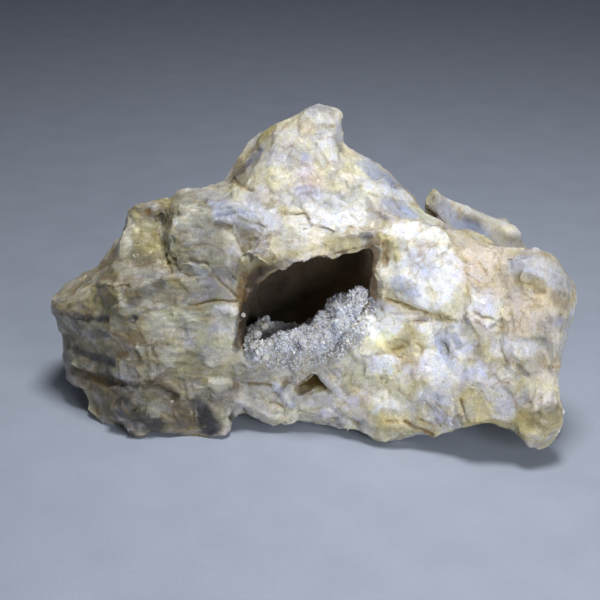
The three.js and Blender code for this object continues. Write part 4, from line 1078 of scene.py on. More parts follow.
class Wiring:
    """Adds nodes to a material's tree and links them."""

    def __init__(self, name):
        self.material = bpy.data.materials.new(name)
        self.material.use_nodes = True
        self.tree = self.material.node_tree
        self.tree.nodes.clear()

    def node(self, kind, inputs=None, **settings):
        """A new node with its settings, and inputs that are values or other nodes' outputs."""
        made = self.tree.nodes.new(kind)
        for setting, value in settings.items():
            setattr(made, setting, value)
        for key, value in (inputs or {}).items():
            if isinstance(value, bpy.types.NodeSocket):
                self.tree.links.new(value, made.inputs[key])
            else:
                made.inputs[key].default_value = value
        return made

    def amount(self, name):
        """The amounts of that name on the mesh's points."""
        return self.node("ShaderNodeAttribute", attribute_name=name).outputs["Fac"]

    def noise(self, place, scale, detail):
        """The outputs of a noise, whose features are about 1 / scale metres wide."""
        return self.node("ShaderNodeTexNoise", {"Vector": place, "Scale": scale, "Detail": detail}).outputs

    def math(self, operation, *values):
        """Numbers put together by an operation."""
        return self.node("ShaderNodeMath", dict(enumerate(values)), operation=operation).outputs[0]

    def product(self, *values):
        """All of the numbers multiplied."""
        result = values[0]
        for value in values[1:]:
            result = self.math("MULTIPLY", result, value)
        return result

    def vector(self, operation, *values):
        """Vectors or colours put together by an operation."""
        return self.node("ShaderNodeVectorMath", dict(enumerate(values)), operation=operation).outputs[0]

    def span(self, value, low, high, to_low, to_high):
        """The value taken from one range to another, and held inside it."""
        inputs = {"Value": value, "From Min": low, "From Max": high, "To Min": to_low, "To Max": to_high}
        return self.node("ShaderNodeMapRange", inputs).outputs[0]

    def scaled(self, vector, amount):
        """A vector or colour multiplied by a number."""
        return self.node("ShaderNodeVectorMath", {0: vector, "Scale": amount}, operation="SCALE").outputs[0]

    def blend(self, share, first, second):
        """The first colour, with that share of the second in it."""
        return self.node("ShaderNodeMix", {0: share, 6: first, 7: second}, data_type="RGBA").outputs[2]

    def bump(self, height, distance, strength, below=None):
        """The surface's direction with a relief of that depth in metres, over another relief."""
        inputs = {"Height": height, "Distance": distance, "Strength": strength}
        if below is not None:
            inputs["Normal"] = below
        return self.node("ShaderNodeBump", inputs).outputs[0]

    def surfaced(self, inputs):
        """The finished material, with a principled shader that has these inputs."""
        shader = self.node("ShaderNodeBsdfPrincipled", inputs)
        self.node("ShaderNodeOutputMaterial", {"Surface": shader.outputs[0]})
        return self.material


# Fine changes of the quartz's hue, and the colours of its thin cracks.
COOL_TINT = (0.975, 1.0, 1.06, 1)
WARM_TINT = (1.03, 1.0, 0.91, 1)
STAIN_TINT = (0.86, 0.77, 0.5)
RUST_LINE = (0.3, 0.19, 0.065, 1)
DARK_LINE = (0.08, 0.06, 0.045, 1)

# How light bends in quartz, and how deep red, green and blue light go in milky quartz, in metres.
QUARTZ_IOR = 1.54
LIGHT_DEPTH = 0.0014
LIGHT_DEPTH_SHARES = (1.0, 0.85, 0.65)


def quartz_material(name, grain, softness, sparkle):
    """Waxy quartz: the tint of each place, a cloudy body, thin cracks, and a few flakes that catch
    the light. Its grain runs across the left of the stone and up its right."""
    wiring = Wiring(name)
    place = wiring.node("ShaderNodeTexCoord").outputs["Object"]
    tint = wiring.node("ShaderNodeAttribute", attribute_name="tint").outputs["Color"]
    amounts = [wiring.amount(key) for key in ("gloss", "left", "crack", "rusty", "seam")]
    wet, left, crack, rusty, seam = amounts

    # the grain: flakes, and strands that run across the left and up the right
    warp = wiring.noise(place, 420, 4)
    bent = wiring.vector("MULTIPLY_ADD", warp["Color"], (0.0016, 0.0016, 0.0016), place)
    across = wiring.vector("MULTIPLY", bent, (0.22, 1, 1))
    upward = wiring.vector("MULTIPLY", bent, (1, 1, 0.5))
    layers = wiring.noise(across, 1000, 3)["Fac"]
    grit = wiring.noise(upward, 620, 3)["Fac"]
    strands = wiring.node("ShaderNodeMix", {0: left, 2: grit, 3: layers}, data_type="FLOAT").outputs[0]
    cloud = wiring.noise(place, 260, 4)["Fac"]
    fine = wiring.noise(place, 2200, 3)["Fac"]
    patch = wiring.noise(place, 110, 2)["Fac"]
    flakes = wiring.node("ShaderNodeTexVoronoi", {"Vector": bent, "Scale": 1 / (grain * MM)}).outputs
    flake = wiring.node("ShaderNodeSeparateColor", {"Color": flakes["Color"]}).outputs

    # thin cracks, seams, and the stain beside them
    wander = wiring.math("MULTIPLY", wiring.math("SUBTRACT", cloud, 0.5), 0.4)
    near_crack = wiring.math("ADD", crack, wander)
    near_seam = wiring.math("ADD", seam, wander)
    broken_up = wiring.span(warp["Fac"], 0.4, 0.52, 0.3, 1)
    line = wiring.math("MULTIPLY", wiring.span(near_crack, 0.63, 0.73, 0, 1), broken_up)
    edge = wiring.math("MULTIPLY", wiring.span(near_seam, 0.78, 0.92, 0, 1), broken_up)
    crack_stain = wiring.span(near_crack, 0.05, 0.6, 0, 0.5)
    seam_stain = wiring.span(near_seam, 0.35, 0.9, 0, 0.3)
    stain = wiring.math("MAXIMUM", crack_stain, seam_stain)

    # how light the grain is, with a dull or bright spot in a few flakes
    ridge = wiring.math("ABSOLUTE", wiring.math("SUBTRACT", strands, 0.5))
    strand = wiring.product(wiring.span(ridge, 0, 0.035, 1, 0), wiring.span(patch, 0.42, 0.6, 0, 1))
    layered = wiring.math("MULTIPLY", left, wiring.span(layers, 0.33, 0.67, -0.17, 0.15))
    spot = wiring.span(flakes["Distance"], 0.12, 0.34, 1, 0)
    dull = wiring.math("MULTIPLY", spot, wiring.span(flake[2], 0.9, 0.93, 0, -0.4))
    bright = wiring.math("MULTIPLY", spot, wiring.span(flake[2], 0.12, 0.09, 0, 0.22))
    lightness = wiring.product(
        wiring.span(cloud, 0.3, 0.7, 0.92, 1.07),
        wiring.span(flake[0], 0, 1, 0.95, 1.04),
        wiring.span(fine, 0.3, 0.7, 0.86, 1.12),
        wiring.span(strand, 0, 1, 1.0, 0.92),
        wiring.math("ADD", layered, 1.0),
        wiring.math("ADD", wiring.math("ADD", dull, bright), 1.0),
    )

    # colour
    hue = wiring.span(wiring.noise(bent, 450, 3)["Fac"], 0.35, 0.65, 0, 1)
    colour = wiring.scaled(tint, lightness)
    colour = wiring.vector("MULTIPLY", colour, wiring.blend(hue, COOL_TINT, WARM_TINT))
    colour = wiring.blend(stain, colour, wiring.vector("MULTIPLY", colour, STAIN_TINT))
    colour = wiring.blend(wiring.math("MULTIPLY", edge, 0.35), colour, RUST_LINE)
    crack_colour = wiring.blend(rusty, DARK_LINE, RUST_LINE)
    colour = wiring.blend(wiring.math("MULTIPLY", line, 0.65), colour, crack_colour)

    # shine, and the flakes that catch the light
    shining = wiring.span(flake[1], 1 - sparkle, 1 - 0.9 * sparkle, 0, 1)
    rough = wiring.span(cloud, 0.35, 0.65, 0.6, 0.44)
    rough = wiring.math("ADD", rough, wiring.span(wet, 0, 0.2, 0.4, 0))
    rough = wiring.math("SUBTRACT", rough, wiring.math("MULTIPLY", wet, 0.14))
    rough = wiring.math("SUBTRACT", rough, wiring.math("MULTIPLY", shining, 0.2))

    # relief, with each flake leaning its own way
    tilt = wiring.vector("SUBTRACT", flakes["Color"], (0.5, 0.5, 0.5))
    lean = wiring.scaled(tilt, wiring.span(shining, 0, 1, 0.16, 0.6))
    normal = wiring.node("ShaderNodeNewGeometry").outputs["Normal"]
    leaning = wiring.vector("NORMALIZE", wiring.vector("ADD", normal, lean))
    relief = wiring.bump(cloud, 0.0006, 0.3, leaning)
    relief = wiring.bump(strands, 0.0005, 0.3, relief)
    relief = wiring.bump(wiring.math("SUBTRACT", 1.0, line), 0.00025, 0.5, relief)
    relief = wiring.bump(fine, 0.00018, 0.6, relief)
    return wiring.surfaced({
        "Base Color": colour,
        "Roughness": rough,
        "Normal": relief,
        "IOR": QUARTZ_IOR,
        "Subsurface Weight": softness,
        "Subsurface Radius": LIGHT_DEPTH_SHARES,
        "Subsurface Scale": LIGHT_DEPTH,
    })


def linear(red, green, blue):
    """A colour given as the eye sees it, from 0 to 1, as light."""
    return tuple(part / 12.92 if part <= 0.04045 else ((part + 0.055) / 1.055) ** 2.4
                 for part in (red, green, blue))


def colour_property(name, description, red, green, blue):
    """A colour setting."""
    return FloatVectorProperty(
        name=name,
        description=description,
        subtype="COLOR",
        size=3,
        min=0,
        max=1,
        default=linear(red, green, blue),
    )


class StoneSizes(bpy.types.PropertyGroup):
    """Colours of the quartz and its stains, and the painted shade inside the hollow."""

    voxel: FloatProperty(
        name="Mesh size", description="Spacing of the skin's mesh in millimetres", default=0.5, min=0.3
    )
    triangles: IntProperty(
        name="Triangles", description="Most triangles that the rock's skin may have", default=192000
    )
    grain: FloatProperty(
        name="Grain", description="Size of the quartz grains in millimetres", default=1.1, min=0.2
    )


class StoneColours(bpy.types.PropertyGroup):
    """Colours of the quartz and its stains."""

    body: colour_property("Body", "Quartz with no stain", 0.8, 0.78, 0.73)
    white: colour_property("White", "Clean milky quartz", 0.97, 0.965, 0.95)
    cream: colour_property("Cream", "Warm milky quartz", 0.925, 0.9, 0.84)
    straw: colour_property("Straw", "Yellowish quartz", 0.68, 0.66, 0.55)
    yellow: colour_property("Yellow", "Iron-yellow quartz", 0.79, 0.74, 0.52)
    peach: colour_property("Peach", "Peach iron stain", 0.9, 0.84, 0.75)
    seam: colour_property("Seam", "Olive-yellow seams between grains", 0.66, 0.61, 0.44)
    ochre: colour_property("Ochre", "Ochre in the cracks", 0.52, 0.385, 0.17)
    brown: colour_property("Brown", "Brown in the deep cracks", 0.27, 0.21, 0.14)
    tan: colour_property("Tan", "Tan rock", 0.5, 0.43, 0.32)
    olive: colour_property("Olive", "Olive-grey rock", 0.43, 0.395, 0.28)
    grey: colour_property("Grey", "Glassy grey quartz", 0.74, 0.725, 0.71)
    blue: colour_property("Blue grey", "Bluish glassy quartz", 0.68, 0.7, 0.77)
    bluewhite: colour_property("Blue white", "Bluish milky quartz", 0.87, 0.88, 0.92)
    lilac: colour_property("Lilac", "Lilac-grey quartz", 0.84, 0.84, 0.88)
    purple: colour_property("Purple brown", "Purple-brown mineral", 0.36, 0.31, 0.31)
    slate: colour_property("Slate", "Slate-blue mineral", 0.2, 0.2, 0.25)
    dark: colour_property("Dark", "Nearly black mineral", 0.1, 0.085, 0.075)
    # painted shade: this brown darkens the hollow's inside, standing for its shade as well as its brown
    # stain
    cave: colour_property("Cave", "Dark brown inside the hollow", 0.37, 0.315, 0.245)
    crust: colour_property("Crust", "Grey crystals of the hollow", 0.96, 0.955, 0.975)


class StageSettings(bpy.types.PropertyGroup):
    """The floor, the lights and the camera."""

    floor: colour_property("Floor", "Pale floor", 0.68, 0.71, 0.77)
    key_power: FloatProperty(
        name="Key light", description="Power of the key light in watts", default=1.37, min=0
    )
    fill_power: FloatProperty(
        name="Fill light", description="Power of the fill light in watts", default=1.35, min=0
    )
    sky: FloatProperty(name="Sky", description="Strength of the light from all around", default=0.07, min=0)
    eye: FloatVectorProperty(
        name="Camera", description="Place of the camera", subtype="XYZ", unit="LENGTH",
        default=(-0.0017, -0.3149, 0.1785),
    )
    look_at: FloatVectorProperty(
        name="Look at", description="Point that the camera looks at", subtype="XYZ", unit="LENGTH",
        default=(-0.0017, -0.0027, 0.0329),
    )
    view_angle: FloatProperty(
        name="View angle", description="The camera's angle of view", subtype="ANGLE", unit="ROTATION",
        default=math.radians(28),
    )


class ViewingStoneSettings(bpy.types.PropertyGroup):
    """All the settings of the viewing stone."""

    sizes: PointerProperty(type=StoneSizes)
    colours: PointerProperty(type=StoneColours)
    stage: PointerProperty(type=StageSettings)


def palette():
    """Every colour setting by its name."""
    colours = bpy.context.scene.viewing_stone.colours
    return {name: np.array(getattr(colours, name)) for name in StoneColours.__annotations__}


# Grains of the rock, large to small: zone, size, stretch, seed, tints to choose from and most of each
# tint. The grains are the cells of the breaks that have the same size, stretch and seed.
GRAINS = [
    ("left", 7.0, (1.7, 1.0, 0.6), 12, ("straw", "olive", "straw", "grey", "cream"), 0.45),
    ("right", 7.0, (1.0, 1.0, 1.1), 14, ("white", "cream", "straw", "bluewhite", "peach"), 0.34),
    ("left", 3.2, (1.5, 1.0, 0.6), 13, ("straw", "olive", "olive", "grey"), 0.4),
    ("right", 3.0, (1.0, 1.0, 1.0), 15, ("white", "grey", "straw", "cream"), 0.22),
]


def grained(tint, rest, colours):
    """Gives every grain a tint of its own, and some of the seams between grains an ochre line."""
    for zone, size, stretch, seed, choices, most in GRAINS:
        strength = zone_strength(rest, zone)
        number, _, owners, inside = nearest_cells(cell_places(rest, size, stretch, seed), size, seed)
        pick = (scatter(owners, seed + 61) * len(choices)).astype(int) % len(choices)
        own = np.array([colours[name] for name in choices])[pick]
        amount = most * scatter(owners, seed + 62)
        tint = mixed(tint, own[number], amount[number] * strength)
        tint = tint * (1 + 0.07 * strength * (scatter(owners, seed + 63)[number] * 2 - 1))[:, None]
        where = smooth_step(noise(rest, 6, seed + 70, 2) * 3 + 0.4) * strength
        seam = smooth_step(1 - inside / 0.25) * where
        tint = mixed(tint, colours["seam"], 0.3 * seam)
    return tint


def seam_amounts(rest):
    """How near each point is to a seam between grains, from 0 to 1, where there are seams."""
    most = np.zeros(len(rest))
    for zone, size, stretch, seed, _, _ in GRAINS:
        wandering = drift(cell_places(rest, size, stretch, seed), 1.2, 0.2, seed + 55)
        inside = nearest_cells(wandering, size, seed)[3] * size
        where = smooth_step(noise(rest, 5, seed + 75, 3) * 2.6 + 0.35) * zone_strength(rest, zone)
        most = np.maximum(most, np.clip(1 - inside / 1.6, 0, 1) * where)
    return most


def streaks(points):
    """Long thin noise, which runs across the left of the stone and up its right."""
    across = noise(points * (0.25, 1.0, 1.0) + points[:, :1] * (0, 0, 0.12), 1.7, 580, 3)
    upward = noise(points * (1.0, 1.0, 0.3), 1.8, 585, 3)
    left = zone_strength(points, "left")
    return across * left + 0.5 * upward * (1 - left)


def hollow_shade(points, out):
    """How far each point is inside the hollow, from 0 at its edge to 1."""
    ring = np.array(HOLLOW_EDGE, float)
    middle, inward, away = ring_frame(ring)
    inward = inward * np.sign(inward[1])
    gap = outside_ring(points, ring, away)
    depth = (points - middle) @ inward + 0.8 * noise(points, 3, 590, 2)
    slack = np.clip(depth, 0, 8)
    to_middle = unit(middle + 12 * inward - points)
    facing_in = smooth_step((out * to_middle).sum(axis=1) * 3 + 0.6)
    return smooth_step((depth - 0.8) / 2.2) * smooth_step(0.6 - (gap - slack) / 3) * facing_in


def creviced(tint, points, out, edges, colours):
    """Stains the crevices, the deep ones more, and makes the ridges paler."""
    narrow = 6 * sunk(points, edges, out, 5)
    depth = narrow + sunk(points, edges, out, 30)
    tint = mixed(tint, colours["seam"], 0.4 * smooth_step(depth - 0.15))
    tint = mixed(tint, colours["ochre"], 0.4 * smooth_step(depth - 0.7))
    return mixed(tint, colours["white"], 0.15 * smooth_step(-narrow - 0.2))


def weathered(tint, rest, colours):
    """Gives the tint streaks, clouds, warmer and cooler places, and fine ochre cracks."""
    tint = tint * (1 + 0.16 * streaks(rest))[:, None]
    tint = tint * (1 + 0.06 * noise(rest, 11, 595, 2))[:, None]
    warmth = 2.2 * noise(drift(rest, 4, 1, 600), 4.0, 603, 4)
    tint = tint * (1 + np.clip(warmth, -1, 1)[:, None] * WARM)
    wiggle = np.abs(noise(drift(rest, 3, 0.8, 610), 6.5, 613, 3))
    line = smooth_step(1 - wiggle / 0.035) * smooth_step(noise(rest, 8, 616, 2) * 3 + 0.3)
    return mixed(tint, colours["ochre"], 0.32 * line)


def toned_with_painted_shading(tint, points):
    """Makes the broad tones lighter or darker, with painted light and shade among them."""
    for centre, radius, lighter in TONES_AND_PAINTED_SHADING:
        share = 1 - smooth_step(distance_from(points, centre) / radius)
        tint = tint * (1 + share[:, None] * (np.array(lighter) ** EYE_POWER - 1))
    return tint


def hollow_stain_and_painted_shade(tint, points, out, colours):
    """Browns the edge of the hollow, and darkens its inside with painted shade, which is painted lighter
    towards the right.
    """
    shade = hollow_shade(points, out)
    tint = mixed(tint, colours["ochre"], smooth_step(shade * 3) * 0.7)
    # painted shade inside the hollow, painted lighter towards the right
    light = 0.55 + 2.6 * smooth_step((points[:, 0] + 8) / 26) + 0.3 * noise(points, 5, 598, 3)
    return mixed(tint, colours["cave"] * light[:, None], smooth_step(shade * 1.6 - 0.3))


def rock_tint(points, rest, out, edges, colours):
    """The colour of the rock at each point, with painted light and shade in the broad tones and inside the
    hollow.
    """
    tint = np.tile(colours["body"], (len(points), 1))
    tint = painted(tint, points, GROUNDS, colours, 0.9, 500)
    tint = grained(tint, rest, colours)
    veins = smooth_step(noise(drift(points, 6, 2, 520), 5.5, 523, 3) * 2.2 - 0.3)
    tint = mixed(tint, colours["white"], 0.35 * veins)
    rust = smooth_step(noise(drift(points, 5, 2, 530), 7.0, 533, 4) * 2.4 - 0.55)
    stain = mixed(colours["ochre"], colours["seam"], zone_strength(rest, "left"))
    tint = mixed(tint, stain, 0.35 * rust)
    tint = creviced(tint, points, out, edges, colours)
    tint = pane_tint(tint, points, colours)
    tint = weathered(tint, rest, colours)
    tint = painted(tint, points, MARKS, colours, 0.35, 560)
    tint = toned_with_painted_shading(tint, points)
    return hollow_stain_and_painted_shade(tint, points, out, colours)


def detail_wanted(points):
    """How fine the rock's mesh stays at each point: finest at the front and towards the top."""
    towards_front = 0.8 - (points[:, 1] + 10) / 60
    return smooth_step(towards_front + np.clip(points[:, 2] - 45, 0, 10) / 30)


class VIEWINGSTONE_OT_rock(bpy.types.Operator):
    """Make the rock's broken, stained surface over its CAD solid"""

    bl_idname = "viewing_stone.rock"
    bl_label = "Rock"

    def execute(self, context):
        sizes = context.scene.viewing_stone.sizes
        mesh = remeshed(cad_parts["stone"], sizes.voxel)
        points, faces, edges = mesh_arrays(mesh)
        rest = relaxed(points, edges, ROCK_ROUNDS, SWELL)
        set_places(mesh, "rest", rest)
        points = pushed(rest, PUSHES)
        points = rounded(points, edges, EARLY_ROUNDS)
        for zone, size, stretch, tilt, step, deepest, seed in BREAKS:
            strength = zone_strength(points, zone)
            points = broken(points, faces, size, stretch, tilt, step, deepest, seed, strength)
        points = rounded(points, edges, LATE_ROUNDS)
        points = paned(points, facing(points, faces))
        out = facing(points, faces)
        points = points + out * (0.05 * noise(points, 1.6, 60, 2) + 0.1 * streaks(rest))[:, None]
        points = grooved(points, out, MARKS)
        put_points(mesh, within_solid_box(points))
        mesh = thinned(mesh, detail_wanted(points), sizes.triangles)
        points, faces, edges = mesh_arrays(mesh)
        points = within_solid_box(points)
        put_points(mesh, points)
        out = facing(points, faces)
        colours = palette()
        rest = places(mesh, "rest")
        set_colours(mesh, "tint", rock_tint(points, rest, out, edges, colours))
        crack, rusty = crack_amounts(points, MARKS)
        set_amounts(mesh, "crack", crack)
        set_amounts(mesh, "rusty", rusty)
        set_amounts(mesh, "left", zone_strength(points, "left"))
        shade = hollow_shade(points, out)
        set_amounts(mesh, "seam", seam_amounts(rest) * (1 - shade))
        gloss = np.clip(0.5 + 0.5 * noise(points, 8, 570, 2), 0.2, 1)
        set_amounts(mesh, "gloss", gloss * (1 - smooth_step(shade * 2)))
        material = quartz_material("vein_quartz", sizes.grain, softness=0.55, sparkle=0.03)
        finish_piece(mesh, "rock", material, "stone", ROCK_CREASE)
        return {"FINISHED"}


# Pushes of the crust: centre, radius and move, in millimetres.
CRUST_PUSHES = [
    ((13.5, -14, 40), 7, (1.5, -1.0, 0.4)),
    ((-11, -15, 31), 7, (0, -0.5, -2.8)),
    ((-9, -13, 33), 6, (0, 0, -3.2)),
    ((-3, -9, 33), 9, (0, 0, -3.6)),
    ((12, -14, 37), 7, (0, 0, 3.2)),
    ((2, -18, 30), 15, (0, -3.0, 1.0)),
]

# The spacing of the crust's mesh in millimetres, and its rounds of smoothing.
CRUST_VOXEL = 0.4
CRUST_ROUNDS = 12

# Breaks of the crust: size, tilt, step, deepest move and seed, with lengths in millimetres.
CRUST_BREAKS = [
    (4.5, 0.45, 0.5, 1.1, 71),
    (2.2, 0.5, 0.25, 0.45, 72),
]

# How many small crystals grow on the crust, and the share of all the small ones that is round.
SMALL_CRYSTALS = 4200
ROUND_SHARE = 0.7

# Shapes of the small crystals: how wide and long they are beside their size, and how uneven.
ROUND_SQUASH = (1.0, 1.0, 0.8)
ROUND_UNEVEN = 0.14
POINT_SQUASH = (0.62, 0.62, 0.9)
POINT_UNEVEN = 0.06

# Colours of the small crystals, and the share of them that has each.
CRYSTAL_COLOURS = {
    "crust": 0.34, "bluewhite": 0.2, "white": 0.12, "grey": 0.14, "lilac": 0.14, "cream": 0.06,
}

# Where small crystals grow on the rock beside the crust: centre and radius in millimetres, and how many.
CRYSTAL_PLACES = [
    ((16.8, -18, 38), 3.0, 70),
    ((15, -21, 34), 2.5, 30),
    ((-14, -19, 30), 4.0, 60),
    ((-14, -20.5, 24.5), 3.5, 150),
    ((-8.6, -20.3, 23), 3.2, 150),
    ((-3.1, -20.9, 23.8), 3.2, 170),
    ((2.4, -20.7, 25), 3.2, 170),
    ((8, -22.5, 28), 3.4, 170),
    ((12, -24, 31.3), 3.0, 120),
    ((15.5, -22.5, 34), 2.6, 90),
]

# Rounded crystals at the left end of the crust: centre and radius in millimetres, and colour.
BALLS = [
    ((-13.5, -18.5, 30.0), 1.4, "grey"),
    ((-11.5, -16.5, 31.5), 1.4, "grey"),
    ((-12.3, -16.5, 32.0), 0.7, "yellow"),
    ((-14.5, -20.0, 26.8), 1.6, "grey"),
    ((-11.5, -19.5, 27.2), 1.5, "grey"),
    ((-13.2, -20.8, 26.3), 0.9, "yellow"),
    ((-13.8, -20.2, 23.8), 1.4, "bluewhite"),
    ((-11.2, -20.6, 24.2), 1.2, "cream"),
    ((-17.2, -18.3, 35.6), 0.75, "grey"),
    ((-9.0, -19.5, 28.5), 1.3, "crust"),
]


def ball_shape():
    """A small ball of 20 faces."""
    gold = (1 + 5**0.5) / 2
    points = []
    for first in (-1, 1):
        for second in (-gold, gold):
            points += [(0, first, second), (first, second, 0), (second, 0, first)]
    points = unit(np.array(points, float))
    faces = []
    for i in range(12):
        for j in range(i + 1, 12):
            for k in range(j + 1, 12):
                sides = [np.linalg.norm(points[a] - points[b]) for a, b in ((i, j), (j, k), (i, k))]
                if max(sides) < 1.1:
                    turned = np.linalg.det(points[[i, j, k]]) < 0
                    faces.append((i, k, j) if turned else (i, j, k))
    return points, np.array(faces)


def point_shape():
    """A six-sided quartz crystal with a pointed end."""
    ring = [(math.cos(step * math.pi / 3), math.sin(step * math.pi / 3)) for step in range(6)]
    points = [(x, y, -0.6) for x, y in ring] + [(x, y, 0.9) for x, y in ring] + [(0, 0, 1.9)]
    faces = []
    for step in range(6):
        following = (step + 1) % 6
        faces += [(step, following, following + 6), (step, following + 6, step + 6)]
        faces.append((step + 6, following + 6, 12))
    faces += [(0, step + 1, step) for step in range(1, 5)]
    return np.array(points, float), np.array(faces)


def turned_to(directions, random):
    """A turn for each direction that takes +Z to it, with a random spin."""
    aside = unit(random.normal(size=directions.shape))
    first = unit(np.cross(directions, aside))
    return np.stack([first, np.cross(directions, first), directions], axis=2)


def grown(shape, faces, spots, directions, sizes, random, uneven):
    """One mesh's points and faces for a shape repeated at spots, each uneven in its own way."""
    count = len(spots)
    copies = shape[None] * (1 + uneven * random.normal(size=(count, len(shape), 1)))
    copies = copies * sizes[:, None, :]
    turns = turned_to(unit(directions + 0.45 * random.normal(size=directions.shape)), random)
    points = np.einsum("nij,nkj->nki", turns, copies) + spots[:, None]
    numbers = faces[None] + (np.arange(count) * len(shape))[:, None, None]
    return points.reshape(-1, 3), numbers.reshape(-1, 3)


def crystal_spots(points, out, random):
    """Places and directions for the small crystals: all over the crust, and on the rock beside it."""
    chosen = np.flatnonzero((out[:, 1] < 0.5) & (out[:, 2] > -0.6))
    chosen = random.choice(chosen, SMALL_CRYSTALS, replace=False)
    spots, directions = [points[chosen]], [out[chosen]]
    rock_points, rock_faces, _ = mesh_arrays(bpy.data.objects["rock"].data)
    rock_out = facing(rock_points, rock_faces)
    for centre, radius, count in CRYSTAL_PLACES:
        near = np.flatnonzero((distance_from(rock_points, centre) < radius) & (rock_out[:, 1] < 0.3))
        near = random.choice(near, min(count, len(near)), replace=False)
        spots.append(rock_points[near])
        directions.append(rock_out[near])
    return np.concatenate(spots), np.concatenate(directions)


def crust_tint(points, out, edges, colours):
    """The colour of the crust under its crystals, with a little ochre in its dips."""
    light = 0.92 + 0.2 * noise(points, 2.5, 79, 2)
    tint = np.tile(colours["crust"], (len(points), 1)) * light[:, None]
    return mixed(tint, colours["ochre"] * 0.5, 0.35 * smooth_step(sunk(points, edges, out, 8) * 4))


def small_crystals(points, out, colours, random):
    """The points, faces and tints of the small crystals: the round ones, then the pointed ones."""
    spots, directions = crystal_spots(points, out, random)
    is_round = random.random(len(spots)) < ROUND_SHARE
    clump = noise(spots, 4.0, 78, 2)
    scale = (0.34 + 0.4 * random.random(len(spots)) ** 2 + 0.18 * clump)[:, None]
    spots = spots - 0.55 * scale * directions
    kinds = (
        (is_round, ball_shape(), ROUND_SQUASH, ROUND_UNEVEN),
        (~is_round, point_shape(), POINT_SQUASH, POINT_UNEVEN),
    )
    groups = []
    for chosen, (shape, faces), squash, uneven in kinds:
        sizes = scale[chosen] * squash
        group = grown(shape, faces, spots[chosen], directions[chosen], sizes, random, uneven)
        groups.append((*group, len(shape)))
    choices = np.array([colours[name] for name in CRYSTAL_COLOURS])
    shares = list(CRYSTAL_COLOURS.values())
    parts = []
    for group_points, group_faces, size in groups:
        count = len(group_points) // size
        own = choices[random.choice(len(choices), count, p=shares)]
        own = own * (0.92 + 0.12 * random.random(count))[:, None]
        low = smooth_step((30 - group_points[::size, 2]) / 5)
        own = own * (1 + low[:, None] * (0.16, 0.12, 0.02))
        parts.append((group_points, group_faces, np.repeat(own, size, axis=0)))
    return parts


def large_crystals(colours, random):
    """The points, faces and tints of the rounded crystals at the crust's left end."""
    shape, faces = ball_shape()
    upward = np.array([[0, 0, 1.0]])
    parts = []
    for centre, radius, name in BALLS:
        spot = np.array([centre], float)
        ball = grown(shape, faces, spot, upward, np.full((1, 3), radius), random, 0.06)
        parts.append((*ball, np.tile(colours[name], (len(shape), 1))))
    return parts


class VIEWINGSTONE_OT_crystals(bpy.types.Operator):
    """Make the crust of small crystals in the hollow"""

    bl_idname = "viewing_stone.crystals"
    bl_label = "Crystals"

    def execute(self, context):
        random = np.random.default_rng(7)
        mesh = remeshed(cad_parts["crystal_crust"], CRUST_VOXEL)
        points, faces, edges = mesh_arrays(mesh)
        points = relaxed(points, edges, CRUST_ROUNDS)
        points = pushed(points, CRUST_PUSHES)
        for size, tilt, step, deepest, seed in CRUST_BREAKS:
            points = broken(points, faces, size, (1, 1, 1), tilt, step, deepest, seed)
        out = facing(points, faces)
        colours = palette()
        grains = small_crystals(points, out, colours, random)
        tint = crust_tint(points, out, edges, colours)
        crust = [(points, faces[:, [0, 1, 2]], tint), (points, faces[:, [0, 2, 3]], None)]
        mesh = joined_mesh(crust + grains + large_crystals(colours, random))
        set_amounts(mesh, "gloss", np.ones(len(mesh.vertices)))
        material = quartz_material("quartz_crystals", grain=0.5, softness=0.5, sparkle=0.04)
        finish_piece(mesh, "hollow_crystals", material, "crystal_crust", CRYSTAL_CREASE)
        return {"FINISHED"}


def joined_mesh(parts):
    """One mesh of several parts' points, triangles and tints. A part with no tint uses the last points."""
    points, faces, tints, first = [], [], [], 0
    for part_points, part_faces, tint in parts:
        if tint is None:
            faces.append(part_faces + first)
            continue
        first = sum(len(group) for group in points)
        points.append(part_points)
        tints.append(tint)
        faces.append(part_faces + first)
    points = within_solid_box(np.concatenate(points))
    mesh = bpy.data.meshes.new("joined")
    mesh.from_pydata((points * MM).tolist(), [], np.concatenate(faces).tolist())
    set_colours(mesh, "tint", np.concatenate(tints))
    return mesh


# The floor reaches this far from the middle in metres.
FLOOR_REACH = 3.0

# Soft lights: name, place, target and width in metres, and colour.
LIGHTS = [
    ("key_light", (0.03, -0.07, 0.45), (0.01, 0, 0.03), 0.14, (0.97, 0.98, 1)),
    ("fill_light", (0.24, -0.42, 0.14), (0, 0, 0.04), 0.24, (0.93, 0.96, 1)),
]
SKY_COLOUR = (0.86, 0.9, 1, 1)


def facing_turn(place, target):
    """The turn that points a light or a camera at a target."""
    return (Vector(target) - Vector(place)).to_track_quat("-Z", "Y").to_euler()


def add_light(name, place, target, width, colour, power):
    """Adds a round, soft light that points at a target."""
    light = bpy.data.lights.new(name, "AREA")
    light.shape = "DISK"
    light.size = width
    light.energy = power
    light.color = colour
    lamp = bpy.data.objects.new(name, light)
    lamp.location = place
    lamp.rotation_euler = facing_turn(place, target)
    bpy.context.scene.collection.objects.link(lamp)


def floor_material(colour):
    """A dull, pale floor with faint clouds and a fine tooth."""
    wiring = Wiring("pale_floor")
    place = wiring.node("ShaderNodeTexCoord").outputs["Object"]
    lightness = wiring.span(wiring.noise(place, 60, 5)["Fac"], 0.3, 0.7, 0.95, 1.03)
    shade = wiring.scaled((*colour,), lightness)
    relief = wiring.bump(wiring.noise(place, 900, 2)["Fac"], 0.0003, 0.25)
    return wiring.surfaced({"Base Color": shade, "Roughness": 0.85, "Normal": relief})


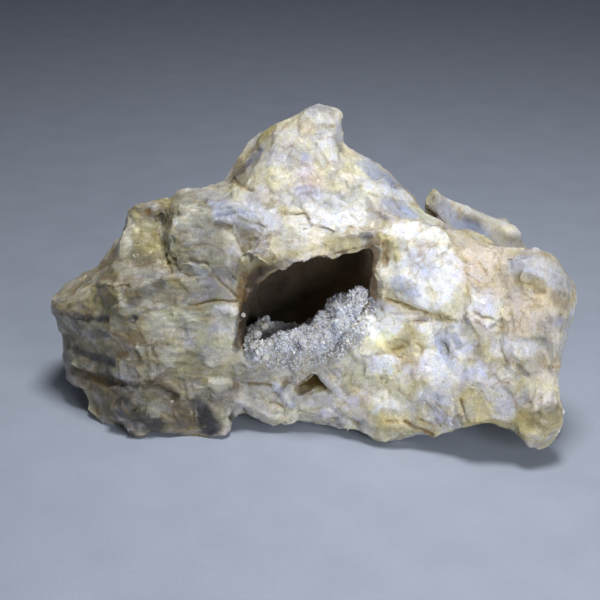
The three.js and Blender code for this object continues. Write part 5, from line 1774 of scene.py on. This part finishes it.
class VIEWINGSTONE_OT_stage(bpy.types.Operator):
    """Make the pale floor, the soft lights and the camera"""

    bl_idname = "viewing_stone.stage"
    bl_label = "Stage"

    def execute(self, context):
        scene = context.scene
        stage = scene.viewing_stone.stage
        mesh = bpy.data.meshes.new("floor")
        corners = [(x * FLOOR_REACH, y * FLOOR_REACH, 0) for x, y in ((-1, -1), (1, -1), (1, 1), (-1, 1))]
        mesh.from_pydata(corners, [], [(0, 1, 2, 3)])
        mesh.materials.append(floor_material(stage.floor))
        floor = bpy.data.objects.new("floor", mesh)
        scene.collection.objects.link(floor)

        for light, power in zip(LIGHTS, (stage.key_power, stage.fill_power)):
            add_light(*light, power)
        world = bpy.data.worlds.new("soft_sky")
        world.use_nodes = True
        sky = world.node_tree.nodes["Background"]
        sky.inputs["Color"].default_value = SKY_COLOUR
        sky.inputs["Strength"].default_value = stage.sky
        scene.world = world
        scene.view_settings.view_transform = "Standard"

        view = bpy.data.cameras.new("camera")
        view.sensor_width = 36
        view.angle = stage.view_angle
        view.clip_start = 0.01
        camera = bpy.data.objects.new("camera", view)
        camera.location = stage.eye
        camera.rotation_euler = facing_turn(stage.eye, stage.look_at)
        scene.collection.objects.link(camera)
        scene.camera = camera
        return {"FINISHED"}


class VIEWINGSTONE_PT_panel(bpy.types.Panel):
    """The viewing stone's pieces and settings"""

    bl_label = "Viewing Stone"
    bl_idname = "VIEWINGSTONE_PT_panel"
    bl_space_type = "VIEW_3D"
    bl_region_type = "UI"
    bl_category = "Viewing Stone"

    def draw(self, context):
        settings = context.scene.viewing_stone
        for operator in OPERATORS:
            self.layout.operator(operator.bl_idname)
        for group in (settings.sizes, settings.colours, settings.stage):
            box = self.layout.box()
            for name in type(group).__annotations__:
                box.prop(group, name)


OPERATORS = (VIEWINGSTONE_OT_rock, VIEWINGSTONE_OT_crystals, VIEWINGSTONE_OT_stage)
CLASSES = (StoneSizes, StoneColours, StageSettings, ViewingStoneSettings, *OPERATORS, VIEWINGSTONE_PT_panel)


def register():
    """Adds the classes and the scene's settings."""
    for cls in CLASSES:
        bpy.utils.register_class(cls)
    bpy.types.Scene.viewing_stone = PointerProperty(type=ViewingStoneSettings)


def unregister():
    """Takes the classes and the settings away again."""
    del bpy.types.Scene.viewing_stone
    for cls in reversed(CLASSES):
        bpy.utils.unregister_class(cls)


def main():
    """Makes the stone, its crystals and the stage."""
    register()
    for operator in OPERATORS:
        group, name = operator.bl_idname.split(".")
        getattr(getattr(bpy.ops, group), name)()


if __name__ == "__main__":
    main()
